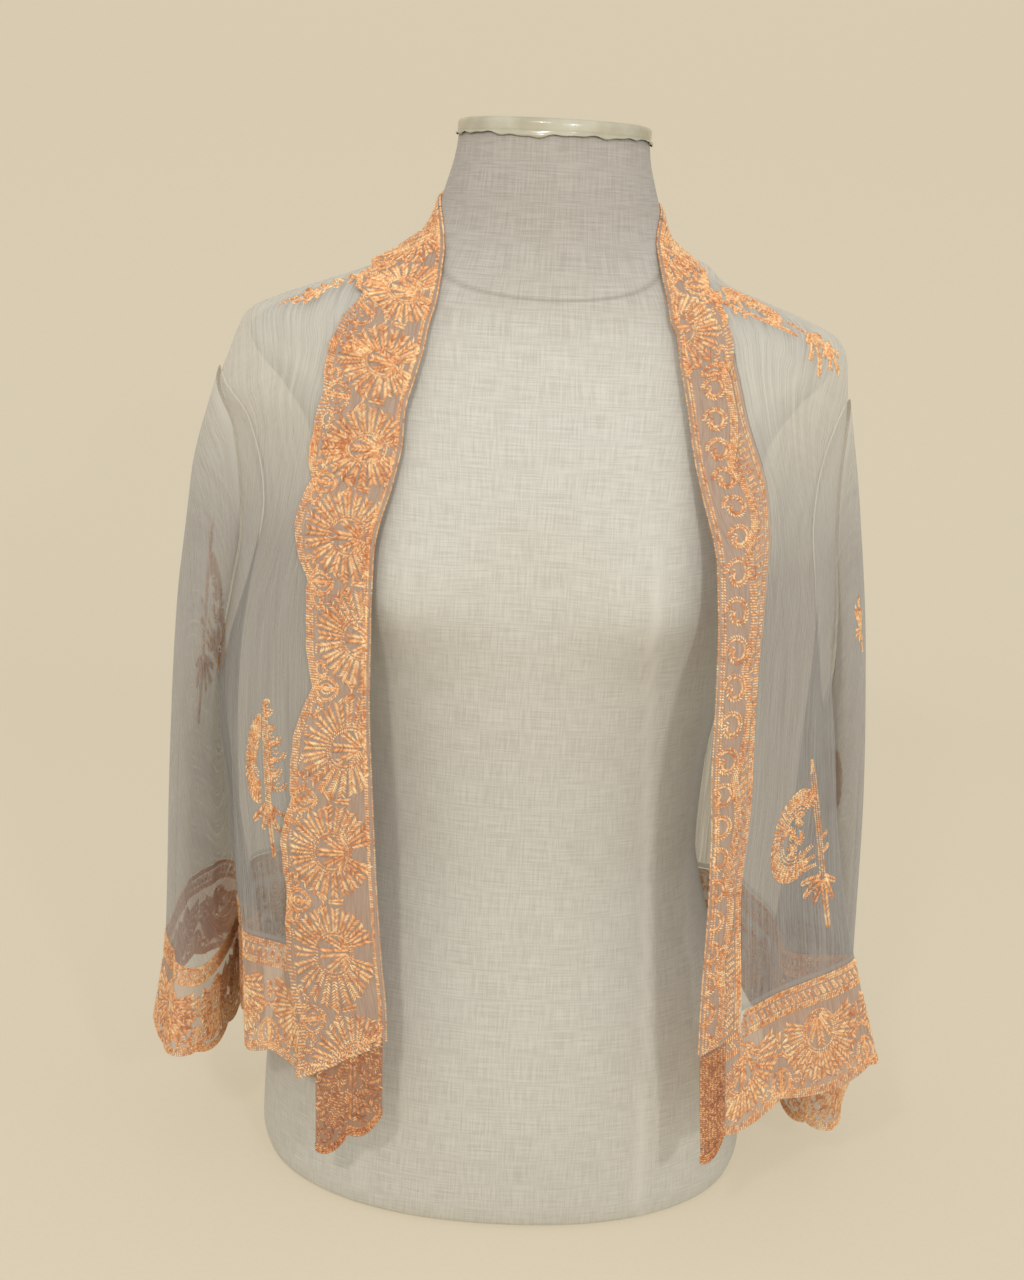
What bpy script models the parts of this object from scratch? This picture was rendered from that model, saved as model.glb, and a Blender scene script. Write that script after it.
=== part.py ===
"""Cropped kimono jacket of sheer cloth with embroidered borders, on a limbless linen dress form.

Frame: metres, +Z up, the form's flat base at z = 0, the jacket's front towards -Y and the
wearer's left towards +X. Every piece of the jacket is a closed wall of cloth. A place on the body's
cloth is an angle round the form, 0 at +x, 90 at the back and 270 at the front, and a reach, the real
distance down from the neck.
"""

import math

import bpy
import numpy as np

# Driving sizes, in metres: the cloth's wall and the gaps at its seams
WALL = 0.0012
SEAM_GAP = 0.0004
PANEL_GAP = 0.0006
SIDE_GAP_DEGREES = 0.08
# Depths of the embroidered borders and of their scallops
HEM_DEPTH = 0.083
HEM_SCALLOP = 0.007
FRONT_SCALLOP = 0.006
CUFF_DEPTH = 0.085
SAMPLES_A_SCALLOP = 5
# How far layers stand off the cloth below them
FOLD_LIFT = 0.0022
EDGE_RISE = 0.0008
END_LIFT, FLAP_LIFT = 0.0046, 0.0018
SLEEVE_LIFT, TOP_LIFT = 0.0018, 0.0008
SLEEVE_CLEAR = 0.0026
# The width at which a strip's sloping foot and its raised edge are stated, and where its foot starts to slope
FOOT_WIDTH = 0.045
FOOT_RUN = 0.070

# The dress form, from its flat base up to the cap
FORM_COLUMNS = ("height", "half_width", "front", "back", "squareness")
FORM_RINGS = (
    (0.000, 0.162, 0.109, 0.113, 2.2),
    (0.004, 0.1685, 0.115, 0.12, 2.2),
    (0.020, 0.1725, 0.119, 0.125, 2.2),
    (0.065, 0.171, 0.121, 0.128, 2.2),
    (0.125, 0.161, 0.114, 0.121, 2.2),
    (0.200, 0.134, 0.1, 0.1, 2.2),
    (0.250, 0.124, 0.095, 0.093, 2.2),
    (0.305, 0.126, 0.098, 0.096, 2.2),
    (0.365, 0.136, 0.108, 0.106, 2.2),
    (0.425, 0.147, 0.117, 0.114, 2.2),
    (0.475, 0.144, 0.114, 0.116, 2.2),
    (0.515, 0.149, 0.104, 0.112, 2.2),
    (0.545, 0.1675, 0.0905, 0.1015, 2.1),
    (0.563, 0.1840, 0.0830, 0.0935, 2),
    (0.575, 0.1885, 0.0775, 0.0865, 2),
    (0.585, 0.1835, 0.0735, 0.0790, 2),
    (0.595, 0.1675, 0.0690, 0.0735, 2),
    (0.606, 0.14, 0.067, 0.071, 2),
    (0.618, 0.108, 0.065, 0.067, 2),
    (0.630, 0.087, 0.063, 0.064, 2),
    (0.643, 0.074, 0.061, 0.062, 2),
    (0.660, 0.067, 0.059, 0.059, 2),
    (0.680, 0.0608, 0.056, 0.056, 2),
    (0.692, 0.0593, 0.055, 0.055, 2),
)
BUST_SIDE, BUST_HEIGHT = 0.078, 0.433
BUST_RISE, BUST_SPREAD, BUST_ABOVE, BUST_BELOW = 0.021, 0.045, 0.060, 0.038

# The cloth's rings. reach is the real distance down the shoulder and the side from the neck.
CLOTH_COLUMNS = ("reach", "height", "right", "left", "front", "back", "squareness")
CLOTH_RINGS = (
    (0.000, 0.6690, 0.0665, 0.0665, 0.06, 0.06, 2),
    (0.026, 0.6450, 0.075, 0.075, 0.0635, 0.064, 2),
    (0.046, 0.6325, 0.0885, 0.0885, 0.0655, 0.0665, 2),
    (0.070, 0.6205, 0.1095, 0.1095, 0.0675, 0.0695, 2),
    (0.103, 0.6085, 0.1415, 0.1415, 0.0695, 0.0735, 2),
    (0.135, 0.5975, 0.1712, 0.171, 0.0735, 0.0785, 2),
    (0.156, 0.5875, 0.19, 0.1895, 0.0785, 0.0855, 2),
    (0.170, 0.5760, 0.1965, 0.1955, 0.084, 0.093, 2),
    (0.186, 0.5610, 0.202, 0.1975, 0.09, 0.1, 2.05),
    (0.204, 0.5430, 0.2075, 0.1985, 0.0965, 0.106, 2.1),
    (0.232, 0.5150, 0.198, 0.1985, 0.1075, 0.115, 2.15),
    (0.292, 0.4550, 0.193, 0.201, 0.129, 0.1235, 2.3),
    (0.332, 0.4150, 0.1975, 0.204, 0.135, 0.126, 2.3),
    (0.402, 0.3450, 0.2055, 0.203, 0.14, 0.129, 2.3),
    (0.482, 0.2650, 0.2, 0.196, 0.143, 0.133, 2.3),
    (0.572, 0.1750, 0.191, 0.19, 0.147, 0.138, 2.3),
    (0.662, 0.0850, 0.188, 0.188, 0.153, 0.144, 2.3),
)
FRONT_ANGLE, BACK_ANGLE = 270.0, 90.0
RIGHT_SIDE, LEFT_SIDE = 180.0, 0.0


def smooth(xs, ys, x):
    """A cubic through the rows of a table that never swings past them."""
    xs = np.asarray(xs, float)
    ys = np.asarray(ys, float)
    x = np.clip(x, xs[0], xs[-1])
    step = np.diff(xs)
    slope = np.diff(ys) / step
    tangent = np.zeros_like(ys)
    tangent[0], tangent[-1] = slope[0], slope[-1]
    rising = slope[:-1] * slope[1:] > 0
    total = np.where(rising, slope[:-1] + slope[1:], 1.0)
    tangent[1:-1] = np.where(rising, 2 * slope[:-1] * slope[1:] / total, 0.0)
    i = np.clip(np.searchsorted(xs, x, side="right") - 1, 0, len(step) - 1)
    t = (x - xs[i]) / step[i]
    h = step[i]
    return (
        (2 * t**3 - 3 * t**2 + 1) * ys[i]
        + (t**3 - 2 * t**2 + t) * h * tangent[i]
        + (3 * t**2 - 2 * t**3) * ys[i + 1]
        + (t**3 - t**2) * h * tangent[i + 1]
    )


def column(table, columns, name):
    return np.array([row[columns.index(name)] for row in table], float)


def read(table, columns, name, at):
    return smooth(column(table, columns, columns[0]), column(table, columns, name), at)


def ease(t):
    t = np.clip(t, 0.0, 1.0)
    return t * t * (3 - 2 * t)


def power(value, exponent):
    return np.sign(value) * np.abs(value) ** exponent


def form_point(angle, height):
    """A point of the form's surface: angle in degrees, 0 at +x, 90 at the back, 270 at the front."""
    a = np.radians(angle)
    half = read(FORM_RINGS, FORM_COLUMNS, "half_width", height)
    front = read(FORM_RINGS, FORM_COLUMNS, "front", height)
    back = read(FORM_RINGS, FORM_COLUMNS, "back", height)
    exponent = 2.0 / read(FORM_RINGS, FORM_COLUMNS, "squareness", height)
    x = half * power(np.cos(a), exponent)
    y = np.where(np.sin(a) < 0, front, back) * power(np.sin(a), exponent)
    spread = np.where(height > BUST_HEIGHT, BUST_ABOVE, BUST_BELOW)
    side = np.exp(-(((np.abs(x) - BUST_SIDE) / BUST_SPREAD) ** 2))
    tall = np.exp(-(((height - BUST_HEIGHT) / spread) ** 2))
    facing = ease(-np.sin(a) * 1.6)
    y = y - BUST_RISE * side * tall * facing
    return np.stack(np.broadcast_arrays(x, y, height), -1)


# Soft folds: where round the body, how wide in degrees, how far out, where each starts and is full, its lean
FOLD_COLUMNS = ("angle", "spread", "rise", "start", "full", "lean")
CLOTH_FOLDS = (
    (214.0, 7.0, 0.012, 0.33, 0.62, 4.0),
    (200.0, 6.0, -0.014, 0.36, 0.62, 0.0),
    (233.0, 6.0, 0.005, 0.30, 0.60, 0.0),
    (312.0, 8.0, 0.006, 0.30, 0.60, -6.0),
    (162.0, 7.0, 0.008, 0.34, 0.62, -3.0),
    (140.0, 7.0, 0.012, 0.26, 0.62, 4.0),
    (124.0, 6.0, -0.008, 0.30, 0.62, 0.0),
    (104.0, 8.0, 0.011, 0.20, 0.62, -3.0),
    (88.0, 6.0, -0.007, 0.28, 0.62, 0.0),
    (70.0, 8.0, 0.013, 0.24, 0.62, 5.0),
    (50.0, 7.0, -0.006, 0.30, 0.62, 0.0),
    (34.0, 8.0, 0.009, 0.30, 0.62, -4.0),
)
# The left front swings out over the sleeve below the underarm
WING_ANGLE, WING_BEFORE, WING_AFTER = 336.0, 22.0, 8.0
WING_OUT, WING_FORWARD, WING_LIFT = 0.074, 0.022, 0.030
WING_START, WING_FULL = 0.340, 0.655

# The left front's edge curls forwards: how far the fold line stands out, by reach
CURL_ANGLE, CURL_SPREAD, CURL_END = 303.0, 15.0, -25.0
CURL_PUSH = ((0.0, 0.0), (0.22, 0.0), (0.30, 0.008), (0.40, 0.020), (0.70, 0.022))


def turn(angle, centre):
    """Degrees from centre to angle, the short way round."""
    return (angle - centre + 180.0) % 360.0 - 180.0


def cloth_point(angle, reach):
    """The middle of the body's cloth at an angle round the body and a real distance from the neck."""
    angle, reach = np.broadcast_arrays(np.asarray(angle, float), np.asarray(reach, float))
    a = np.radians(angle)
    parts = {name: read(CLOTH_RINGS, CLOTH_COLUMNS, name, reach) for name in CLOTH_COLUMNS[1:]}
    beyond = np.maximum(reach - CLOTH_RINGS[-1][0], 0.0)
    above = np.minimum(reach, 0.0)
    exponent = 2.0 / parts["squareness"]
    half = np.where(np.cos(a) > 0, parts["left"], parts["right"])
    depth = np.where(np.sin(a) < 0, parts["front"], parts["back"])
    x = half * power(np.cos(a), exponent)
    y = depth * power(np.sin(a), exponent)
    z = parts["height"] - beyond - above
    for fold_angle, spread, rise, start, full, lean in CLOTH_FOLDS:
        grown = ease((reach - start) / (full - start))
        centre = fold_angle + lean * (reach - full) / 0.3
        amount = rise * grown * np.exp(-((turn(angle, centre) / spread) ** 2))
        x = x + amount * np.cos(a)
        y = y + amount * np.sin(a)
    away = turn(angle, WING_ANGLE)
    spread = np.where(away < 0, WING_BEFORE, WING_AFTER)
    grown = np.clip((reach - WING_START) / (WING_FULL - WING_START), 0, 1.2) ** 1.3
    swing = np.exp(-((away / spread) ** 2)) * grown
    x = x + WING_OUT * swing
    y = y - WING_FORWARD * swing
    z = z + WING_LIFT * swing
    push = smooth(*zip(*CURL_PUSH), reach) * ease(1.0 - turn(angle, CURL_ANGLE) / CURL_SPREAD)
    y = y - push * (turn(angle, CURL_ANGLE) > CURL_END)
    return np.stack([x, y, z], -1)


def cloth_normal(angle, reach):
    """Unit normal of the body's cloth, pointing away from the form."""
    across, down = tangents(angle, reach)
    return unit(np.cross(down, across))


# The fold line of the front border, from the nape to its lower end. Angles run past the side into the front.
EDGE_COLUMNS = ("angle", "reach")
RIGHT_EDGE = (
    (90.0, -0.002),
    (125.0, -0.001),
    (155.0, 0.001),
    (175.0, 0.0045),
    (190.0, 0.01),
    (202.0, 0.0185),
    (213.0, 0.031),
    (224.0, 0.047),
    (231.5, 0.064),
    (238.4, 0.086),
    (243.5, 0.111),
    (246.6, 0.136),
    (248.2, 0.16),
    (248.4, 0.19),
    (247.4, 0.222),
    (246.0, 0.25),
    (243.6, 0.294),
    (245.3, 0.366),
    (246.5, 0.415),
    (247.4, 0.492),
    (248.2, 0.544),
    (249.3, 0.584),
    (249.8, 0.68),
    (250.0, 0.705),
)
LEFT_EDGE = (
    (90.0, -0.002),
    (55.0, -0.001),
    (25.0, 0.001),
    (5.0, 0.0045),
    (-10.0, 0.01),
    (-22.0, 0.0185),
    (-33.5, 0.034),
    (-44.5, 0.056),
    (-53.8, 0.083),
    (-60.5, 0.114),
    (-64.2, 0.143),
    (-65.1, 0.168),
    (-64.6, 0.195),
    (-63.7, 0.22),
    (-62.0, 0.25),
    (-60.0, 0.289),
    (-59.6, 0.34),
    (-59.3, 0.405),
    (-57.6, 0.457),
    (-56.8, 0.509),
    (-56.6, 0.59),
    (-55.9, 0.66),
    (-55.6, 0.705),
)


# Small steps over the cloth that its slopes and the fold line's direction are worked out from
STEP_ANGLE, STEP_REACH, EDGE_STEP = 0.2, 0.0015, 0.018


def tangents(angle, reach):
    """Surface steps per degree and per metre of reach."""
    across = cloth_point(angle + STEP_ANGLE, reach) - cloth_point(angle - STEP_ANGLE, reach)
    down = cloth_point(angle, reach + STEP_REACH) - cloth_point(angle, reach - STEP_REACH)
    return across / (2 * STEP_ANGLE), down / (2 * STEP_REACH)


def dot(a, b):
    return np.sum(a * b, -1)


def unit(vector):
    return vector / np.linalg.norm(vector, axis=-1, keepdims=True)


def frame_at(angle, reach):
    """Unit steps round the body and towards the hem, at right angles in the cloth."""
    across, down = tangents(angle, reach)
    down = unit(down)
    across = unit(across - dot(across, down)[..., None] * down)
    return across, down


def walk(angle, reach, across, down, steps=8):
    """Where a walk over the cloth ends, given real metres round the body and towards the hem."""
    angle, reach, across, down = np.broadcast_arrays(angle, reach, across, down)
    angle, reach = angle.astype(float), reach.astype(float)
    for _ in range(steps):
        by_angle, by_reach = tangents(angle, reach)
        e_across, e_down = frame_at(angle, reach)
        move = (across[..., None] * e_across + down[..., None] * e_down) / steps
        aa, ar, rr = dot(by_angle, by_angle), dot(by_angle, by_reach), dot(by_reach, by_reach)
        ma, mr = dot(by_angle, move), dot(by_reach, move)
        spread = aa * rr - ar * ar
        angle = angle + (ma * rr - mr * ar) / spread
        reach = reach + (mr * aa - ma * ar) / spread
    return angle, reach


class Edge:
    """The border's fold line as a curve with a real length, counted from the nape."""

    def __init__(self, rows, outward):
        self.angles = column(rows, EDGE_COLUMNS, "angle")
        self.reaches = column(rows, EDGE_COLUMNS, "reach")
        self.outward = outward
        self.count = np.arange(len(rows), dtype=float)
        fine = np.linspace(0, len(rows) - 1, 40 * len(rows))
        points = cloth_point(smooth(self.count, self.angles, fine), smooth(self.count, self.reaches, fine))
        steps = np.linalg.norm(np.diff(points, axis=0), axis=1)
        self.fine, self.along = fine, np.concatenate([[0.0], np.cumsum(steps)])
        self.length = self.along[-1]

    def place(self, along):
        """Angle and reach at a length from the nape. Past the nape the line is mirrored."""
        at = np.interp(np.abs(along), self.along, self.fine)
        angle = smooth(self.count, self.angles, at)
        return np.where(np.asarray(along) < 0, 180.0 - angle, angle), smooth(self.count, self.reaches, at)

    def out_at(self, along):
        """Unit direction away from the opening, in the cloth."""
        before = cloth_point(*self.place(along - EDGE_STEP))
        after = cloth_point(*self.place(along + EDGE_STEP))
        return unit(np.cross(unit(after - before), cloth_normal(*self.place(along)))) * self.outward

    def offset(self, along, width):
        """The place a real width away from the fold line, over the cloth."""
        along, width = np.broadcast_arrays(np.asarray(along, float), np.asarray(width, float))
        angle, reach = self.place(along)
        side = self.out_at(along)
        e_across, e_down = frame_at(angle, reach)
        return walk(angle, reach, dot(side, e_across) * width, dot(side, e_down) * width)


# Where the hem borders are sewn on, as a reach for each angle round the body
HEM_LINE = (
    (-75.0, 0.572),
    (0.0, 0.572),
    (90.0, 0.566),
    (180.0, 0.557),
    (215.0, 0.551),
    (285.0, 0.550),
)
ARM_TOP, ARM_FOOT = 0.200, 0.402
ARM_OPENING, ARM_OVERLAP, ARM_LAP = 17.0, 0.6, 0.003
NECK_SHARE = 0.2
PANEL_BEND = 0.40
HEM_COLUMNS, HEM_COLUMNS_UNDER, HEM_ROWS, BACK_SCALLOPS = 18, 4, 3, 9
FRONT_COLUMNS, BACK_COLUMNS, COLUMN_BIAS = 12, 14, 0.5
NECK_ROWS, BACK_ROWS = 10, 13
# Shares of the strip's width where its under layer and its shown layer have points
UNDER_SHARES = (1.0, 0.4, 0.06)
SHOWN_SHARES = (0.05, 0.3, 0.55, 0.78, 1.0)


def hem_line(angle):
    return smooth(*zip(*HEM_LINE), (np.asarray(angle, float) + 75.0) % 360.0 - 75.0)


def lerp(a, b, t):
    return a + (b - a) * t


def lobe(phase):
    """0 at a cusp between two scallops, where phase is whole, and 1 at the middle of each."""
    return np.abs(np.sin(math.pi * phase)) ** 0.8


class Side:
    """What differs between the wearer's right and left. Widths are measured from the fold line."""

    def __init__(self, edge, sign, under, shown, cusps, foot, foot_slope, hem_from_fold, hem_scallops):
        self.edge, self.sign = edge, sign
        self.side_angle = RIGHT_SIDE if sign > 0 else LEFT_SIDE
        side_angle = self.side_angle
        self.under, self.shown, self.cusps = under, shown, cusps
        self.foot, self.foot_slope = foot, foot_slope
        self.hem_from_fold, self.hem_scallops = hem_from_fold, hem_scallops
        along = np.linspace(0.08, edge.length - 0.004, 600)
        angle, reach = edge.offset(along, self.under_width(along))
        past = sign * (angle - side_angle)
        self.shoulder = float(np.interp(0.0, past, along))
        low = along > 0.3
        self.hem_along = float(np.interp(0.0, (reach - hem_line(angle))[low], along[low]))

    def under_width(self, along):
        return smooth(*zip(*self.under), along)

    def shown_width(self, along):
        """The visible width of the folded strip, in and out with the scallops."""
        return smooth(*zip(*self.shown), along) - FRONT_SCALLOP * (1 - lobe(self.phase(along)))

    def phase(self, along):
        """How many scallops lie between the nape and a place along the strip."""
        return np.interp(along, self.cusps, np.arange(len(self.cusps)))

    def scallop_rows(self, first, last):
        """Places along the strip between two ends, a few for each scallop."""
        start, end = (float(self.phase(along)) * SAMPLES_A_SCALLOP for along in (first, last))
        samples = np.arange(math.ceil(start + 0.3), end - 0.3)
        inside = np.interp(samples / SAMPLES_A_SCALLOP, np.arange(len(self.cusps)), self.cusps)
        return np.concatenate([[first], inside, [last]])

    def seam(self, along, extra=0.0):
        return self.edge.offset(along, self.under_width(along) + extra)

    def foot_at(self, width):
        """How far along the strip ends, for a width from the fold line."""
        return self.foot + self.foot_slope * width / FOOT_WIDTH

    def strip_rows(self):
        return self.scallop_rows(self.shoulder + SEAM_GAP, self.foot)


RIGHT = Side(
    Edge(RIGHT_EDGE, 1),
    sign=1,
    under=((0.0, 0.035), (0.45, 0.035), (0.57, 0.027), (0.75, 0.025)),
    shown=(
        (0.0, 0.048),
        (0.10, 0.050),
        (0.20, 0.057),
        (0.29, 0.057),
        (0.345, 0.053),
        (0.395, 0.042),
        (0.425, 0.041),
        (0.475, 0.052),
        (0.535, 0.0635),
        (0.60, 0.0665),
        (0.66, 0.058),
        (0.75, 0.050),
    ),
    cusps=(0.0, 0.056, 0.112, 0.164, 0.214, 0.261, 0.316, 0.370, 0.434, 0.504, 0.569, 0.632, 0.695, 0.755),
    foot=0.660,
    foot_slope=0.026,
    hem_from_fold=False,
    hem_scallops=3,
)
LEFT = Side(
    Edge(LEFT_EDGE, -1),
    sign=-1,
    under=(
        (0.0, 0.035),
        (0.20, 0.0345),
        (0.25, 0.036),
        (0.305, 0.0445),
        (0.36, 0.0370),
        (0.42, 0.0325),
        (0.48, 0.0325),
        (0.555, 0.0245),
        (0.62, 0.029),
        (0.75, 0.030),
    ),
    shown=(
        (0.0, 0.048),
        (0.12, 0.042),
        (0.18, 0.036),
        (0.217, 0.036),
        (0.25, 0.030),
        (0.285, 0.029),
        (0.32, 0.032),
        (0.355, 0.026),
        (0.42, 0.025),
        (0.47, 0.022),
        (0.52, 0.0175),
        (0.62, 0.0155),
        (0.75, 0.014),
    ),
    cusps=(0.0, 0.058, 0.116, 0.174, 0.233, 0.288, 0.342, 0.410, 0.477, 0.5375, 0.598, 0.660, 0.72),
    foot=0.655,
    foot_slope=-0.0188,
    hem_from_fold=True,
    hem_scallops=4,
)


def arm_edge(reach):
    """Half the armhole's width in degrees round the body."""
    t = np.clip((reach - ARM_TOP) / (ARM_FOOT - ARM_TOP), 0.0, 1.0)
    return ARM_OPENING * np.sin(math.pi * t**0.85) ** 0.75


def places(angle, reach):
    return np.stack(np.broadcast_arrays(angle, reach), 0)


def patch(top, bottom, inner, outer, u, v):
    """Places inside four edges that meet at their corners, by transfinite blending."""
    blend = (1 - v) * top(u) + v * bottom(u) + (1 - u) * inner(v) + u * outer(v)
    zero, one = 0 * u, 0 * u + 1
    corners = (1 - u) * (1 - v) * top(zero) + u * (1 - v) * top(one)
    return blend - corners - (1 - u) * v * bottom(zero) - u * v * bottom(one)


def outer_edge(side, facing, v):
    """The armhole and the side seam of a panel: facing is 1 for a front and -1 for a back."""
    reach = lerp(ARM_TOP, float(hem_line(side.side_angle)), v)
    return places(side.side_angle + facing * side.sign * (arm_edge(reach) + SIDE_GAP_DEGREES), reach)


def hem_edge(side, start, end, u):
    """The seam to the hem border between two places, one at each end."""
    angle = lerp(start[0], end[0], u)
    off = (1 - u) * (start[1] - hem_line(start[0])) + u * (end[1] - hem_line(end[0]))
    return places(angle, hem_line(angle) + off)


def front_places(side, u, v):
    """Places over a front panel: u from the border's seam to the side, v from the shoulder to the hem."""
    first = side.shoulder + SEAM_GAP
    start = [float(value) for value in side.seam(first, PANEL_GAP)]
    foot = [float(value) for value in side.seam(side.hem_along, PANEL_GAP)]
    side_line = side.side_angle + side.sign * SIDE_GAP_DEGREES
    last = [side_line, float(hem_line(side.side_angle))]

    def top(u):
        return places(lerp(start[0], side_line, u), lerp(start[1], ARM_TOP, u))

    def inner(v):
        return places(*side.seam(lerp(first, side.hem_along, v), PANEL_GAP))

    def bottom(u):
        return hem_edge(side, foot, last, u)

    def outer(v):
        return outer_edge(side, 1, v)

    return patch(top, bottom, inner, outer, u, v)


def back_places(side, u, v):
    """The same over half of the back: the inner edge runs round the neck, then down the middle."""
    last_along = side.shoulder - SEAM_GAP
    corner = [float(value) for value in side.seam(last_along, PANEL_GAP)]
    nape = [BACK_ANGLE, float(side.seam(0.0, PANEL_GAP)[1])]
    side_line = side.side_angle - side.sign * SIDE_GAP_DEGREES
    foot = [BACK_ANGLE, float(hem_line(BACK_ANGLE))]
    last = [side_line, float(hem_line(side.side_angle))]

    def top(u):
        return places(lerp(corner[0], side_line, u), lerp(corner[1], ARM_TOP, u))

    def inner(v):
        angle, reach = side.seam(last_along * (1 - np.clip(v / NECK_SHARE, 0, 1)), PANEL_GAP)
        past = np.clip((v - NECK_SHARE) / (1 - NECK_SHARE), 0, 1)
        below = v >= NECK_SHARE - 1e-9
        angle = np.where(below, BACK_ANGLE, angle)
        return places(angle, np.where(below, lerp(nape[1], foot[1], past), reach))

    def bottom(u):
        return hem_edge(side, foot, last, u)

    def outer(v):
        return outer_edge(side, -1, v)

    return patch(top, bottom, inner, outer, u, v)


def lifted(place, lift):
    """Points and normals of the cloth at places, moved out from the body."""
    normal = cloth_normal(*place)
    return cloth_point(*place) + normal * np.asarray(lift)[..., None], normal


def panel_shares(count):
    """Shares from 0 to 1, closer together near 0 and near 1."""
    t = np.linspace(0, 1, count)
    return t - COLUMN_BIAS * np.sin(2 * math.pi * t) / (2 * math.pi)


def front_panel(side):
    rows = side.strip_rows()
    rows = rows[rows < side.hem_along - 0.008]
    bending = rows < PANEL_BEND
    rows = np.concatenate([rows[bending], rows[~bending][1::2]])
    first = side.shoulder + SEAM_GAP
    v = np.append((rows - first) / (side.hem_along - first), 1.0)
    u, v = np.meshgrid(panel_shares(FRONT_COLUMNS), v)
    return lifted(front_places(side, u, v), 0.0)


def back_panel():
    """Both halves of the back, joined down the middle below the nape: points, normals and quads."""
    v = np.concatenate([np.linspace(0, NECK_SHARE, NECK_ROWS), np.linspace(NECK_SHARE, 1, BACK_ROWS)[1:]])
    u, v = np.meshgrid(panel_shares(BACK_COLUMNS), v)
    rows, columns = u.shape
    right, right_normals = lifted(back_places(RIGHT, u, v), 0.0)
    left, left_normals = lifted(back_places(LEFT, u, v), 0.0)
    points = np.concatenate([right.reshape(-1, 3), left.reshape(-1, 3)])
    normals = np.concatenate([right_normals.reshape(-1, 3), left_normals.reshape(-1, 3)])
    ids = np.arange(2 * rows * columns).reshape(2, rows, columns)
    shared = v[:, 0] >= NECK_SHARE - 1e-9
    ids[1, shared, 0] = ids[0, shared, 0]
    quads = grid_quads(ids[0]) + [quad[::-1] for quad in grid_quads(ids[1])]
    kept, renumbered = np.unique(np.array(quads), return_inverse=True)
    return points[kept], normals[kept], renumbered.reshape(-1, 4).tolist()


def hairpin(side, rows, end):
    """The strip folded back on itself: an under layer in to the fold line, then a shown layer out again."""
    radius = FOLD_LIFT / 2
    points, normals = [], []

    def along_at(width):
        if end is None:
            return rows
        blend = ease((rows - (end - FOOT_RUN)) / FOOT_RUN)
        return rows + blend * (side.foot_at(width) - side.foot)

    def row(width, turned):
        along = along_at(width)
        place = side.edge.offset(along, width)
        normal = cloth_normal(*place)
        out = side.edge.out_at(along)
        lean = math.radians(turned)
        facing = -normal * math.cos(lean) - out * math.sin(lean)
        rise = EDGE_RISE * (width / FOOT_WIDTH) ** 2 if turned > 170 else 0 * width
        points.append(cloth_point(*place) + normal * (radius + rise)[:, None] + facing * radius)
        normals.append(facing)

    under = side.under_width(rows)
    shown = side.shown_width(rows)
    for share in UNDER_SHARES:
        row(under * share, 0.0)
    for turned in (60.0, 120.0):
        row(0.0 * under, turned)
    for share in SHOWN_SHARES:
        row(shown * share, 180.0)
    return np.stack(points, 1), np.stack(normals, 1)


def front_border(side):
    return hairpin(side, side.strip_rows(), side.foot)


def neck_border():
    halves = []
    for side in (RIGHT, LEFT):
        halves.append(hairpin(side, side.scallop_rows(0.0, side.shoulder - SEAM_GAP), None))
    (right, right_normals), (left, left_normals) = halves
    points = np.concatenate([right[::-1], left[1:]])
    return points, np.concatenate([right_normals[::-1], left_normals[1:]])


def border_end(side, lift, widths, top, foot, columns, rows, scallops):
    """The strip's free end: columns of width out from the fold line, rows down from the strip's foot."""
    width = np.linspace(widths[0], widths[1], columns)
    share = np.linspace(0, 1, rows)[:, None]
    across = np.linspace(0, 1, columns)
    along_foot = lerp(foot[0], foot[1], across) - HEM_SCALLOP * (1 - lobe(across * scallops))
    along_top = side.foot_at(width) + top
    along = lerp(along_top[None], along_foot[None], share)
    return lifted(side.edge.offset(along, np.broadcast_to(width, along.shape)), lift)


def hem_columns(side):
    """Tops and feet of a front hem border's columns, from the strip or the fold line to the side."""
    if side.hem_from_fold:
        width = np.linspace(0.0, float(side.under_width(side.foot)), HEM_COLUMNS_UNDER)
        tops = side.edge.offset(side.foot_at(width) + SEAM_GAP, width)
        feet = side.edge.offset(side.hem_along + HEM_DEPTH + 0 * width, width)
    else:
        tops = side.seam(np.array([side.hem_along + SEAM_GAP]), SEAM_GAP)
        feet = side.seam(np.array([side.hem_along + HEM_DEPTH]), SEAM_GAP)
    side_line = side.side_angle + side.sign * SIDE_GAP_DEGREES
    share = np.linspace(0, 1, HEM_COLUMNS + 1)[1:]
    top_angle, foot_angle = lerp(tops[0][-1], side_line, share), lerp(feet[0][-1], side_line, share)
    tops = places(np.append(tops[0], top_angle), np.append(tops[1], hem_line(top_angle) + SEAM_GAP))
    feet = places(np.append(feet[0], foot_angle), np.append(feet[1], hem_line(foot_angle) + HEM_DEPTH))
    return tops, feet


def hem_surface(tops, feet, scallops, panel_angles):
    """Rows of a hem border from its columns, with scallops along its foot.

    Its top keeps to the straight steps between the panel's lowest points, whose angles are given.
    """
    line = cloth_point(*feet)
    arc = np.concatenate([[0.0], np.cumsum(np.linalg.norm(np.diff(line, axis=0), axis=1))])
    short = HEM_SCALLOP * (1 - lobe(arc / arc[-1] * scallops))
    rows = []
    for part in np.linspace(0, 1, HEM_ROWS):
        angle = lerp(tops[0], feet[0], part)
        rows.append(places(angle, lerp(tops[1], feet[1] - short, part)))
    points, normals = lifted(np.stack(rows, -1), 0.0)
    below_panel = (tops[0] >= panel_angles[0]) & (tops[0] <= panel_angles[-1])
    corners = lifted(places(panel_angles, hem_line(panel_angles) + PANEL_GAP), 0.0)
    for grid, corner in zip((points, normals), corners):
        steps = np.stack([np.interp(tops[0], panel_angles, corner[:, axis]) for axis in range(3)], -1)
        shift = (steps - grid[:, 0]) * below_panel[:, None]
        for row, share in ((0, 1.0), (1, 0.5)):
            grid[:, row] = grid[:, row] + shift * share
    return points, unit(normals)


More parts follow.
